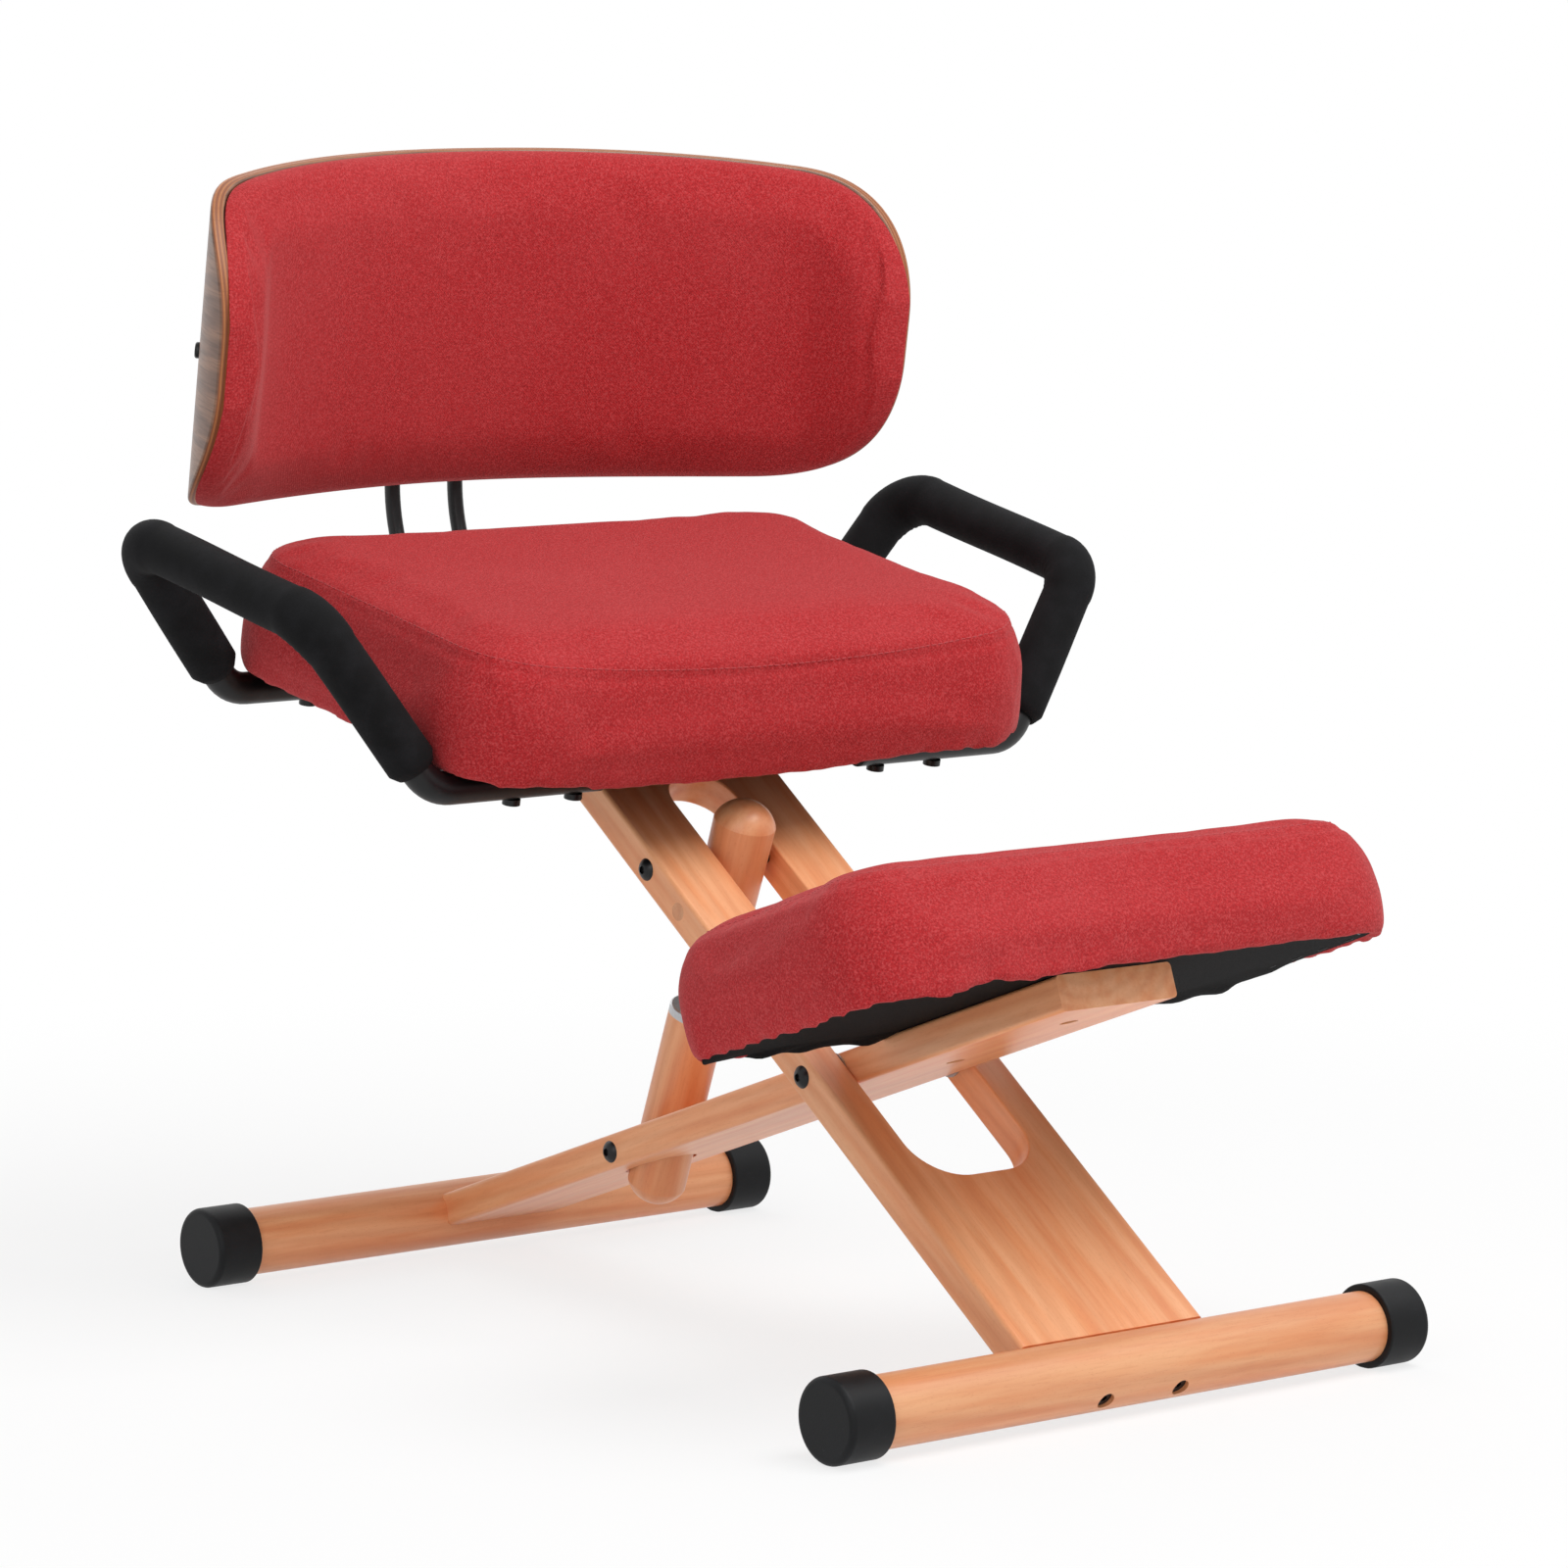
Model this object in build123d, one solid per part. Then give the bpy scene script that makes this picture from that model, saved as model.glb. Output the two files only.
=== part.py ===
"""Kneeling posture stool: a slotted beech frame board and a crossing knee arm that
pivot on one bolt, a screw post that sets the angle between them, a tilted seat with
foam-gripped side loops, and a bent plywood back rest on two steel rods."""
from build123d import *
import os
from math import asin, atan2, cos, degrees, radians, sin, tan

# Feet, lengths in millimetres and angles in degrees throughout
FOOT_WIDTH = 480.0
BAR_DIA = 46.0
CAP_DIA = 55.0
CAP_LENGTH = 34.0
CAP_FLOOR = 5.0
CAP_EDGE = 4.0
CAP_MOUTH = 1.3
CAP_TREAD = 0.4
BAR_FLAT = 2.0

# Frame board that carries the seat
PIVOT_Y = -136.45
FRAME_ANGLE = 35.4
FRAME_LOWER = 280.0
FRAME_UPPER = 202.0
BOARD_WIDTH = 150.0
BOARD_THICK = 25.0
SLOT_LOW = 113.0
SLOT_STEP = 68.0
SLOT_LOW_CORNER = 34.0
SLOT_STEP_CORNER = 14.0
POST_SLOT = 52.0
ARCH_TOP = 276.0
PLUG_DROP = 42.0
PLUG_DIA = 12.0
PLUG_DEPTH = 10.0
WOOD_ROUND = 3.0
SLOT_ROUND = 1.5

# Knee arm that crosses the frame board
ARM_LOWER = 483.0
ARM_PIN = 257.0
ARM_UPPER = 233.0
ARM_WIDTH = 95.0
ARM_THICK = 23.0
ARM_SIDE_GAP = 1.0
MORTISE_GAP = 2.0

# Screw post between the frame board and the knee arm
POST_DIA = 43.0
POST_FOOT_DIA = 40.0
POST_ABOVE = 44.0
POST_BELOW = 60.0
POST_DOME = 16.0
SLEEVE_DIA = 40.0
SLEEVE_ABOVE = 100.0
SLEEVE_BELOW = 44.0
SLEEVE_DOME = 14.0
SPINDLE_DIA = 16.0
SPINDLE_TOP_DROP = 14.0
SPINDLE_LENGTH = 138.0
SPINDLE_ROOM = 1.2
SPINDLE_CHAMFER = 1.0
FERRULE_RIM = 6.0
FERRULE_SPIGOT_DIA = 26.0
FERRULE_SPIGOT = 12.0
BORE_FLOOR = 14.0

# Bolts across the joints
PIVOT_DIA = 10.0
PIN_DIA = 8.0
HEAD_DIA = 15.0
HEAD_RISE = 4.0
HEX_KEY = 5.0
HEX_DEPTH = 2.2
WASHER_DIA = 26.0
RUN_GAP = 0.05
FIT_GAP = 0.1
FACE_GAP = 0.1

# Bolts that hold the foot bars
BAR_BOLT_DIA = 7.0
BAR_BOLT_HEAD = 12.0
BAR_BOLT_HEAD_LENGTH = 7.0
BAR_BOLT_SINK = 10.0
BAR_BOLT_GRIP = 40.0
FRAME_BOLT_SPACING = 62.0
ARM_BOLT_SPACING = 44.0

# Seat
SEAT_BACK = 279.0
SEAT_RISE = 215.5
SEAT_TILT = 11.0
SEAT_WIDTH = 482.0
SEAT_DEPTH = 330.0
SEAT_CORNER = 66.0
SEAT_SIDE = 76.0
SEAT_CROWN = 17.0
SEAT_CROWN_REACH = 84.0
SEAT_PULL_IN = 5.0
SEAT_BOARD = 12.0
BOARD_INSET = 14.0
COVER_THICK = 1.0
COVER_INSET = 10.0
SEAT_SCREW_DIA = 6.0
SEAT_SCREW_HEAD = 12.0
SEAT_SCREW_SPACING = 110.0
SEAT_SCREW_ROWS = 22.0
SEAT_SCREW_LENGTH = 30.0

SIDE_STEPS = 4
CROWN_STEPS = 5

# Knee pad
KNEE_MIDDLE = 160.0
KNEE_WIDTH = 450.0
KNEE_DEPTH = 222.0
KNEE_CORNER = 44.0
KNEE_SIDE = 66.0
KNEE_CROWN = 16.0
KNEE_CROWN_REACH = 78.0
KNEE_PULL_IN = 7.0
KNEE_BOARD = 10.0
KNEE_BOARD_INSET = 5.0
KNEE_COVER_INSET = 7.0
KNEE_SCREW_REAR = 64.0
KNEE_SCREW_FRONT = 181.0
KNEE_SCREW_DIA = 6.0
KNEE_SCREW_HEAD = 12.0
KNEE_SCREW_SINK = 3.0
KNEE_SCREW_HEAD_LENGTH = 3.5
KNEE_SCREW_BITE = 8.0

# Side handles, placed in the seat's own frame
TUBE_DIA = 22.0
TUBE_WALL = 1.5
GRIP_DIA = 34.0
GRIP_START = 17.0
HANDLE_END_IN = 129.0
HANDLE_ELBOW_OUT = 3.0
HANDLE_FRONT_OUT = 82.0
HANDLE_REAR_OUT = 89.0
HANDLE_FRONT_RISE = 95.0
HANDLE_REAR_RISE = 99.0
HANDLE_FRONT_BASE = -112.0
HANDLE_REAR_BASE = 127.0
HANDLE_FRONT_TOP = -74.0
HANDLE_REAR_TOP = 128.0
ELBOW_RADIUS = 28.0
CORNER_RADIUS = 32.0
PLUG_FLANGE = 2.5
PLUG_SPIGOT = 8.0
HANDLE_BOLT_DIA = 6.0
HANDLE_BOLT_HEAD = 12.0
HANDLE_BOLT_HEAD_LENGTH = 4.0
HANDLE_BOLT_INSET = 16.0
HANDLE_BOLT_SPACING = 50.0
BOLT_IN_BOARD = 9.0

# Back rest
BACK_BEHIND = 468.8
BACK_ABOVE = 469.9
BACK_LEAN = 9.3
BACK_RADIUS = 490.0
WING_RADIUS = 80.0
WING_START = 29.8
WING_END = 89.5
WING_VIEW = 78.0
BACK_HEIGHT = 234.0
BACK_BOW = 17.0
BACK_CORNER = 97.0
SHELL_THICK = 9.0
SHELL_ROUND = 2.0
PAD_THICK = 24.0
PAD_INSET = 3.0
PAD_ROUND = 11.0
PAD_SEAT_GAP = 0.3
ROD_DIA = 11.0
ROD_SPACING = 54.0
ROD_BEND = 112.0
ROD_FORWARD = 92.0
ROD_TOP = 62.0
ROD_BEHIND = 21.0
ROD_GAP = 0.1
ROD_ROUND = 1.8
CLAMP_WIDTH = 96.0
CLAMP_HEIGHT = 22.0
CLAMP_WALL = 4.0
CLAMP_SPACING = 70.0
CLAMP_SCREW_SPACING = 82.0
SMALL_SCREW_DIA = 4.0
SMALL_SCREW_HEAD = 9.0
SMALL_SCREW_HEAD_LENGTH = 3.0
SCREW_IN_SHELL = 6.0
STRAP_LENGTH = 20.0
STRAP_SPACING = 52.0
STRAP_FIRST = 14.0
PAD_SCREW_ANGLE = 52.0
PAD_SCREW_HEAD = 11.0
PAD_SCREW_RISE = 3.0


# Places worked out from the driving dimensions
bar_r = BAR_DIA / 2
cap_r = CAP_DIA / 2
frame_a = radians(FRAME_ANGLE)
bar_z = cap_r - CAP_TREAD
pivot_z = bar_z + FRAME_LOWER * sin(frame_a)
arm_a = asin((pivot_z - bar_z) / ARM_LOWER)
seat_a = radians(SEAT_TILT)
back_a = radians(BACK_LEAN)


def from_pivot(along_y, along_z):
    """A point in the middle plane, measured from the main pivot."""
    return Vector(0, PIVOT_Y + along_y, pivot_z + along_z)


def frame_point(along):
    return from_pivot(along * cos(frame_a), along * sin(frame_a))


def arm_point(along):
    return from_pivot(along * cos(arm_a), -along * sin(arm_a))


def tilted(origin, lean):
    """Plane with X across the stool, Y rising to the rear by lean and Z as its normal."""
    return Plane(origin=origin, x_dir=(1, 0, 0), z_dir=(0, -sin(lean), cos(lean)))


PIVOT = from_pivot(0, 0)
POST_PIN = frame_point(FRAME_UPPER)
ARM_PIN_POINT = arm_point(ARM_PIN)
FRONT_BAR = frame_point(-FRAME_LOWER)
REAR_BAR = arm_point(ARM_LOWER)
frame_plane = tilted(PIVOT, frame_a)
arm_plane = tilted(PIVOT, -arm_a)
seat_plane = tilted(from_pivot(SEAT_BACK, SEAT_RISE), seat_a)
back_plane = tilted(from_pivot(BACK_BEHIND, BACK_ABOVE), back_a)
post_line = POST_PIN - ARM_PIN_POINT
post_length = post_line.length
post_lean = atan2(-post_line.Y, post_line.Z)
post_plane = tilted(POST_PIN, post_lean)
sleeve_plane = tilted(ARM_PIN_POINT, post_lean)
slot_half = ARM_WIDTH / 2 + ARM_SIDE_GAP
arm_top = ARM_THICK / 2
bore_dia = SPINDLE_DIA + 2 * SPINDLE_ROOM


def rod_x(dia, x0, x1, at):
    """Round bar along X between two X positions, through a point in the middle plane."""
    plane = Plane(origin=(x0, at.Y, at.Z), x_dir=(0, 1, 0), z_dir=(1, 0, 0))
    return extrude(plane * Circle(dia / 2), x1 - x0)


def stub(plane, x, y, z0, z1, dia):
    """Round bar along a plane's own normal, between two heights above the plane."""
    low = plane * Pos(x, y, min(z0, z1))
    return low * Cylinder(dia / 2, abs(z1 - z0), align=(Align.CENTER, Align.CENTER, Align.MIN))


def slab(plane, width, depth, corner, z0, z1):
    """Rounded rectangular panel between two heights above a plane."""
    return plane * Pos(0, 0, z0) * extrude(RectangleRounded(width, depth, corner), z1 - z0)


def beside(plane, origin):
    """The same directions as a plane, from another origin."""
    return Plane(origin=origin, x_dir=plane.x_dir, z_dir=plane.z_dir)


def hex_socket():
    """Key socket that is cut into the top of a screw head."""
    return extrude(RegularPolygon(HEX_KEY / 2, 6, major_radius=False), HEX_DEPTH)


def group(solids):
    """Separate solids that share one node."""
    return Compound(children=list(solids))


def mirrored_pair(solid):
    return group([solid, mirror(solid, about=Plane.YZ)])


# Feet
def foot_bar(centre, board_plane, toward, width, spacing):
    """Round bar with a milled flat for the board's end and two counterbored bolt holes."""
    half = FOOT_WIDTH / 2 - CAP_FLOOR
    bar = rod_x(BAR_DIA, -half, half, centre)
    flat_at = bar_r - BAR_FLAT
    seat = Box(width + 2 * FIT_GAP, BAR_DIA, BAR_DIA, align=(Align.CENTER, Align.MIN, Align.CENTER))
    at_bar = beside(board_plane, centre)
    if toward > 0:
        bar -= at_bar * Pos(0, flat_at, 0) * seat
    else:
        bar -= at_bar * Rot(0, 0, 180) * Pos(0, flat_at, 0) * seat
    for x in (-spacing / 2, spacing / 2):
        along = at_bar * Pos(x, 0, 0) * Rot(90 * toward, 0, 0)
        bar -= along * Cylinder(BAR_BOLT_DIA / 2 + FIT_GAP, 2 * BAR_DIA)
        bar -= along * stub(Plane.XY, 0, 0, bar_r - BAR_BOLT_SINK, BAR_DIA, BAR_BOLT_HEAD + 2 * FIT_GAP)
    return bar


def bar_bolts(centre, board_plane, toward, spacing, grow=0.0):
    """Socket screws that run through a foot bar into the end of its board."""
    at_bar = beside(board_plane, centre)
    seat = bar_r - BAR_BOLT_SINK
    head_top = seat + BAR_BOLT_HEAD_LENGTH
    tip = bar_r - BAR_FLAT + BAR_BOLT_GRIP
    solids = []
    for x in (-spacing / 2, spacing / 2):
        screw = stub(Plane.XY, 0, 0, -tip, seat, BAR_BOLT_DIA + 2 * grow)
        screw += stub(Plane.XY, 0, 0, seat, head_top, BAR_BOLT_HEAD + 2 * grow)
        screw -= Pos(0, 0, head_top - HEX_DEPTH) * hex_socket()
        solids.append(at_bar * Pos(x, 0, 0) * Rot(90 * toward, 0, 0) * screw)
    return solids


def foot_caps(centre):
    """Rubber cups pushed over both ends of a foot bar, with a narrow flat tread underneath."""
    cup = stub(Plane.XY, 0, 0, 0, CAP_LENGTH, CAP_DIA)
    rims = cup.edges().filter_by(GeomType.CIRCLE).sort_by(Axis.Z)
    cup = fillet(rims[0], CAP_EDGE)
    cup = fillet(cup.edges().filter_by(GeomType.CIRCLE).sort_by(Axis.Z)[-1], CAP_MOUTH)
    cup -= stub(Plane.XY, 0, 0, CAP_FLOOR, CAP_LENGTH, BAR_DIA)
    left = Pos(-FOOT_WIDTH / 2, centre.Y, centre.Z) * Rot(0, 90, 0) * cup
    left -= Pos(-FOOT_WIDTH / 2, centre.Y, 0) * Box(
        CAP_DIA, CAP_DIA, CAP_DIA, align=(Align.MIN, Align.CENTER, Align.MAX)
    )
    return mirrored_pair(left)


# Frame board and knee arm
def long_board(width, thick, y0, y1):
    """Board in a plane's own frame with its four long edges eased."""
    blank = Pos(0, (y0 + y1) / 2, 0) * Box(width, y1 - y0, thick)
    return fillet(blank.edges().filter_by(Axis.Y), WOOD_ROUND)


def slot_outline():
    """Stepped slot: wide where the knee arm crosses, narrow and arched where the post sits."""
    post_half = POST_SLOT / 2
    wide = Pos(0, (SLOT_STEP - SLOT_LOW) / 2) * Rectangle(2 * slot_half, SLOT_STEP + SLOT_LOW)
    low = wide.vertices().group_by(Axis.Y)[0]
    wide = fillet(low, SLOT_LOW_CORNER)
    wide = fillet(wide.vertices().group_by(Axis.Y)[-1], SLOT_STEP_CORNER)
    arch_centre = ARCH_TOP - post_half
    narrow = Pos(0, arch_centre / 2) * Rectangle(POST_SLOT, arch_centre)
    return wide + narrow + Pos(0, arch_centre) * Circle(post_half)


def make_frame_board():
    low = -(FRAME_LOWER - bar_r + BAR_FLAT)
    high = FRAME_UPPER + SEAT_DEPTH
    board = long_board(BOARD_WIDTH, BOARD_THICK, low, high)
    cutter = extrude(slot_outline(), BOARD_THICK, both=True)
    board -= cutter
    faces = board.faces().filter_by(Axis.Z).sort_by(Axis.Z)
    rim = [edge for face in (faces[0], faces[-1]) for wire in face.inner_wires() for edge in wire.edges()]
    board = frame_plane * fillet(rim, SLOT_ROUND)
    above = seat_plane * Pos(0, 0, -COVER_THICK) * Box(
        2 * SEAT_WIDTH, 4 * SEAT_DEPTH, 2 * SEAT_DEPTH, align=(Align.CENTER, Align.CENTER, Align.MIN)
    )
    board -= above
    span = BOARD_WIDTH
    board -= rod_x(PIVOT_DIA + 2 * RUN_GAP, -span, span, PIVOT)
    board -= rod_x(PIN_DIA + 2 * RUN_GAP, -span, span, POST_PIN)
    for plug in hole_plugs(FIT_GAP / 2):
        board -= plug
    for bolt in bar_bolts(FRONT_BAR, frame_plane, 1, FRAME_BOLT_SPACING, FIT_GAP):
        board -= bolt
    for screw in seat_screws(FIT_GAP):
        board -= screw
    return board


def hole_plugs(grow=0.0):
    """Wooden plugs that close the spare post hole on both sides of the frame board."""
    centre = frame_point(FRAME_UPPER - PLUG_DROP)
    outer = BOARD_WIDTH / 2
    left = rod_x(PLUG_DIA + 2 * grow, -outer, -outer + PLUG_DEPTH + grow, centre)
    return [left, mirror(left, about=Plane.YZ)]


def mortise():
    """Slanted opening in the knee arm for the lower half of the screw post."""
    width = SLEEVE_DIA + 2 * MORTISE_GAP
    reach = 4 * ARM_THICK
    return extrude(sleeve_plane * RectangleRounded(width, width, width / 2 - 0.5), reach, both=True)


def make_knee_arm():
    high = ARM_LOWER - bar_r + BAR_FLAT
    arm = arm_plane * long_board(ARM_WIDTH, ARM_THICK, -ARM_UPPER, high)
    arm -= mortise()
    span = ARM_WIDTH
    arm -= rod_x(PIVOT_DIA + 2 * RUN_GAP, -span, span, PIVOT)
    arm -= rod_x(PIN_DIA + 2 * RUN_GAP, -span, span, ARM_PIN_POINT)
    for bolt in bar_bolts(REAR_BAR, arm_plane, -1, ARM_BOLT_SPACING, FIT_GAP):
        arm -= bolt
    for y in (-KNEE_SCREW_REAR, -KNEE_SCREW_FRONT):
        arm -= stub(arm_plane, 0, y, -arm_top, arm_top, KNEE_SCREW_DIA + 2 * FIT_GAP)
        sink = KNEE_SCREW_SINK + KNEE_SCREW_HEAD_LENGTH
        arm -= stub(arm_plane, 0, y, -arm_top, -arm_top + sink, KNEE_SCREW_HEAD + 2 * FIT_GAP)
    return arm


# Bolts across the joints
def domed_head(dia, at, side):
    """Low domed head with a hex key socket, outside one face; side is -1 or 1 along X."""
    curve = (dia * dia / 4 + HEAD_RISE * HEAD_RISE) / (2 * HEAD_RISE)
    ball = Pos(0, 0, HEAD_RISE - curve) * Sphere(curve)
    head = ball & Cylinder(dia / 2, HEAD_RISE, align=(Align.CENTER, Align.CENTER, Align.MIN))
    head -= Pos(0, 0, HEAD_RISE - HEX_DEPTH) * hex_socket()
    return Pos(at.X, at.Y, at.Z) * Rot(0, 90 * side, 0) * head


def cross_bolt(dia, half, at):
    """Bolt along X whose head sits on the left face and whose shank reaches the right face."""
    head = domed_head(HEAD_DIA, Vector(-half, at.Y, at.Z), -1)
    return rod_x(dia, -half, half, at) + head


def cross_nut(half, at):
    """Domed nut on the right face that closes a cross bolt."""
    return domed_head(HEAD_DIA, Vector(half, at.Y, at.Z), 1)


def pivot_washers():
    """Thin washers that keep the knee arm clear of the frame board's rails."""
    inner = ARM_WIDTH / 2 + FACE_GAP
    ring = rod_x(WASHER_DIA, inner, slot_half, PIVOT)
    ring -= rod_x(PIVOT_DIA + 2 * RUN_GAP, inner, slot_half, PIVOT)
    return mirrored_pair(ring)


# Screw post
def round_end(dia, rise, at, sign):
    """Ball whose cap of a given rise closes a round post at a height on its axis."""
    ball = (dia * dia / 4 + rise * rise) / (2 * rise)
    return Pos(0, 0, at - sign * ball) * Sphere(ball)


def make_post():
    """Turned upper post with a domed head and a gentle taper to its foot."""
    length = POST_ABOVE + POST_BELOW
    taper = Pos(0, 0, -POST_BELOW) * Cone(
        POST_FOOT_DIA / 2, POST_DIA / 2, length, align=(Align.CENTER, Align.CENTER, Align.MIN)
    )
    taper = fillet(taper.edges().filter_by(GeomType.CIRCLE).sort_by(Axis.Z)[0], WOOD_ROUND)
    body = Pos(0, 0, -POST_BELOW) * Cylinder(
        POST_DIA, length - POST_DOME, align=(Align.CENTER, Align.CENTER, Align.MIN)
    )
    post = post_plane * (taper & (body + round_end(POST_DIA, POST_DOME, POST_ABOVE, 1)))
    post -= rod_x(PIN_DIA + 2 * RUN_GAP, -POST_DIA, POST_DIA, POST_PIN)
    return post - stub(post_plane, 0, 0, -SPINDLE_TOP_DROP, -POST_BELOW, SPINDLE_DIA + 2 * FIT_GAP)


def make_spindle():
    low = -SPINDLE_TOP_DROP - SPINDLE_LENGTH
    rod = stub(post_plane, 0, 0, low, -SPINDLE_TOP_DROP, SPINDLE_DIA)
    return chamfer(rod.edges().filter_by(GeomType.CIRCLE), SPINDLE_CHAMFER)


def make_sleeve():
    """Lower wooden sleeve: bored for the spindle, domed where it comes out under the arm."""
    shaft = stub(Plane.XY, 0, 0, -SLEEVE_BELOW, SLEEVE_ABOVE, SLEEVE_DIA)
    body = stub(Plane.XY, 0, 0, SLEEVE_DOME - SLEEVE_BELOW, SLEEVE_ABOVE, 2 * SLEEVE_DIA)
    sleeve = sleeve_plane * (shaft & (body + round_end(SLEEVE_DIA, SLEEVE_DOME, -SLEEVE_BELOW, -1)))
    sleeve -= stub(sleeve_plane, 0, 0, BORE_FLOOR, SLEEVE_ABOVE, bore_dia)
    spigot = FERRULE_SPIGOT_DIA + 2 * FIT_GAP
    sleeve -= stub(sleeve_plane, 0, 0, SLEEVE_ABOVE - FERRULE_SPIGOT - FIT_GAP, SLEEVE_ABOVE, spigot)
    return sleeve - rod_x(PIN_DIA + 2 * RUN_GAP, -SLEEVE_DIA, SLEEVE_DIA, ARM_PIN_POINT)


def make_ferrule():
    """Steel collar on the sleeve's mouth, with a spigot down into the wood."""
    rim = stub(sleeve_plane, 0, 0, SLEEVE_ABOVE, SLEEVE_ABOVE + FERRULE_RIM, SLEEVE_DIA)
    top = rim.edges().filter_by(GeomType.CIRCLE).sort_by(Axis.Z)[-1]
    rim = fillet(top, FERRULE_RIM / 4)
    spigot = stub(sleeve_plane, 0, 0, SLEEVE_ABOVE - FERRULE_SPIGOT, SLEEVE_ABOVE, FERRULE_SPIGOT_DIA)
    return rim + spigot - stub(sleeve_plane, 0, 0, 0, SLEEVE_ABOVE + 2 * FERRULE_RIM, bore_dia)


# Cushions, their boards and covers
def pillow(plane, width, depth, corner, base, side, crown, reach, pull_in):
    """Boxed cushion: sides drawn in at the base and the seam, and a crowned top panel."""
    rings = []
    for step in range(SIDE_STEPS + 1):
        rise = step / SIDE_STEPS
        rings.append((side * rise, pull_in * (2 * rise - 1) ** 2))
    for step in range(1, CROWN_STEPS + 1):
        turn = radians(90 * step / CROWN_STEPS)
        rings.append((side + crown * sin(turn), pull_in + reach * (1 - cos(turn))))
    sections = []
    for height, inset in rings:
        shrink = 1 - 2 * inset / depth
        shape = RectangleRounded(width - 2 * inset, depth - 2 * inset, corner * shrink)
        sections.append(plane * Pos(0, 0, base + height) * shape)
    return loft(sections, ruled=True)


def make_seat_board():
    width, depth = SEAT_WIDTH - 2 * BOARD_INSET, SEAT_DEPTH - 2 * BOARD_INSET
    board = slab(seat_plane, width, depth, SEAT_CORNER - BOARD_INSET, 0, SEAT_BOARD)
    for cutter in seat_screws(FIT_GAP) + handle_bolts(FIT_GAP) + strap_screws(FIT_GAP):
        board -= cutter
    return board


def make_seat_cover():
    width, depth = SEAT_WIDTH - 2 * COVER_INSET, SEAT_DEPTH - 2 * COVER_INSET
    cover = slab(seat_plane, width, depth, SEAT_CORNER - COVER_INSET, -COVER_THICK, 0)
    for cutter in seat_screws(FIT_GAP) + handle_bolts(FIT_GAP) + strap_screws(FIT_GAP):
        cover -= cutter
    return cover


def make_seat_cushion():
    cushion = pillow(
        seat_plane, SEAT_WIDTH, SEAT_DEPTH, SEAT_CORNER, 0, SEAT_SIDE, SEAT_CROWN, SEAT_CROWN_REACH,
        SEAT_PULL_IN
    )
    return cushion - slab(
        seat_plane,
        SEAT_WIDTH - 2 * BOARD_INSET + 2 * FIT_GAP,
        SEAT_DEPTH - 2 * BOARD_INSET + 2 * FIT_GAP,
        SEAT_CORNER - BOARD_INSET + FIT_GAP,
        0,
        SEAT_BOARD + FIT_GAP,
    )


def seat_top_contact():
    """Where the frame board's mid line meets the seat's underside, in the seat's own frame."""
    rel_y, rel_z = SEAT_BACK, SEAT_RISE
    closing = frame_a - seat_a
    height = -rel_y * sin(seat_a) + rel_z * cos(seat_a) - COVER_THICK
    along = rel_y * cos(seat_a) + rel_z * sin(seat_a)
    return height / tan(closing) - along


def seat_screws(grow=0.0):
    """Countersunk screws down through the seat board into the frame board's bevelled end."""
    middle = seat_top_contact()
    solids = []
    for x in (-SEAT_SCREW_SPACING / 2, SEAT_SCREW_SPACING / 2):
        for y in (middle - SEAT_SCREW_ROWS / 2, middle + SEAT_SCREW_ROWS / 2):
            tip = SEAT_BOARD - SEAT_SCREW_LENGTH
            shank = stub(seat_plane, x, y, tip, SEAT_BOARD, SEAT_SCREW_DIA + 2 * grow)
            rise = (SEAT_SCREW_HEAD - SEAT_SCREW_DIA) / 2
            cone = Cone(SEAT_SCREW_DIA / 2 + grow, SEAT_SCREW_HEAD / 2 + grow, rise,
                        align=(Align.CENTER, Align.CENTER, Align.MAX))
            solids.append(shank + seat_plane * Pos(x, y, SEAT_BOARD) * cone)
    return solids


knee_plane = beside(arm_plane, arm_point(-KNEE_MIDDLE))
knee_base = arm_top + COVER_THICK


def make_knee_board():
    inset = KNEE_BOARD_INSET
    board = slab(
        knee_plane, KNEE_WIDTH - 2 * inset - 2 * KNEE_PULL_IN, KNEE_DEPTH - 2 * inset - 2 * KNEE_PULL_IN,
        KNEE_CORNER - inset, knee_base, knee_base + KNEE_BOARD
    )
    for screw in knee_screws(FIT_GAP):
        board -= screw
    return board


def make_knee_cover():
    inset = KNEE_COVER_INSET
    cover = slab(
        knee_plane, KNEE_WIDTH - 2 * inset, KNEE_DEPTH - 2 * inset, KNEE_CORNER - inset, arm_top, knee_base
    )
    for screw in knee_screws(FIT_GAP):
        cover -= screw
    return cover


def make_knee_cushion():
    cushion = pillow(
        knee_plane, KNEE_WIDTH, KNEE_DEPTH, KNEE_CORNER, knee_base, KNEE_SIDE, KNEE_CROWN, KNEE_CROWN_REACH,
        KNEE_PULL_IN
    )
    inset = KNEE_BOARD_INSET
    return cushion - slab(
        knee_plane,
        KNEE_WIDTH - 2 * inset - 2 * KNEE_PULL_IN + 2 * FIT_GAP,
        KNEE_DEPTH - 2 * inset - 2 * KNEE_PULL_IN + 2 * FIT_GAP,
        KNEE_CORNER - inset + FIT_GAP,
        knee_base,
        knee_base + KNEE_BOARD + FIT_GAP,
    )


def knee_screws(grow=0.0):
    """Screws up through the knee arm into the knee pad's board."""
    head_low = -arm_top + KNEE_SCREW_SINK
    solids = []
    for y in (-KNEE_SCREW_REAR, -KNEE_SCREW_FRONT):
        head = stub(arm_plane, 0, y, head_low, head_low + KNEE_SCREW_HEAD_LENGTH, KNEE_SCREW_HEAD + 2 * grow)
        shank = stub(arm_plane, 0, y, head_low, knee_base + KNEE_SCREW_BITE, KNEE_SCREW_DIA + 2 * grow)
        socket = arm_plane * Pos(0, y, head_low) * hex_socket()
        solids.append(head + shank - socket if grow == 0 else head + shank)
    return solids


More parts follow.
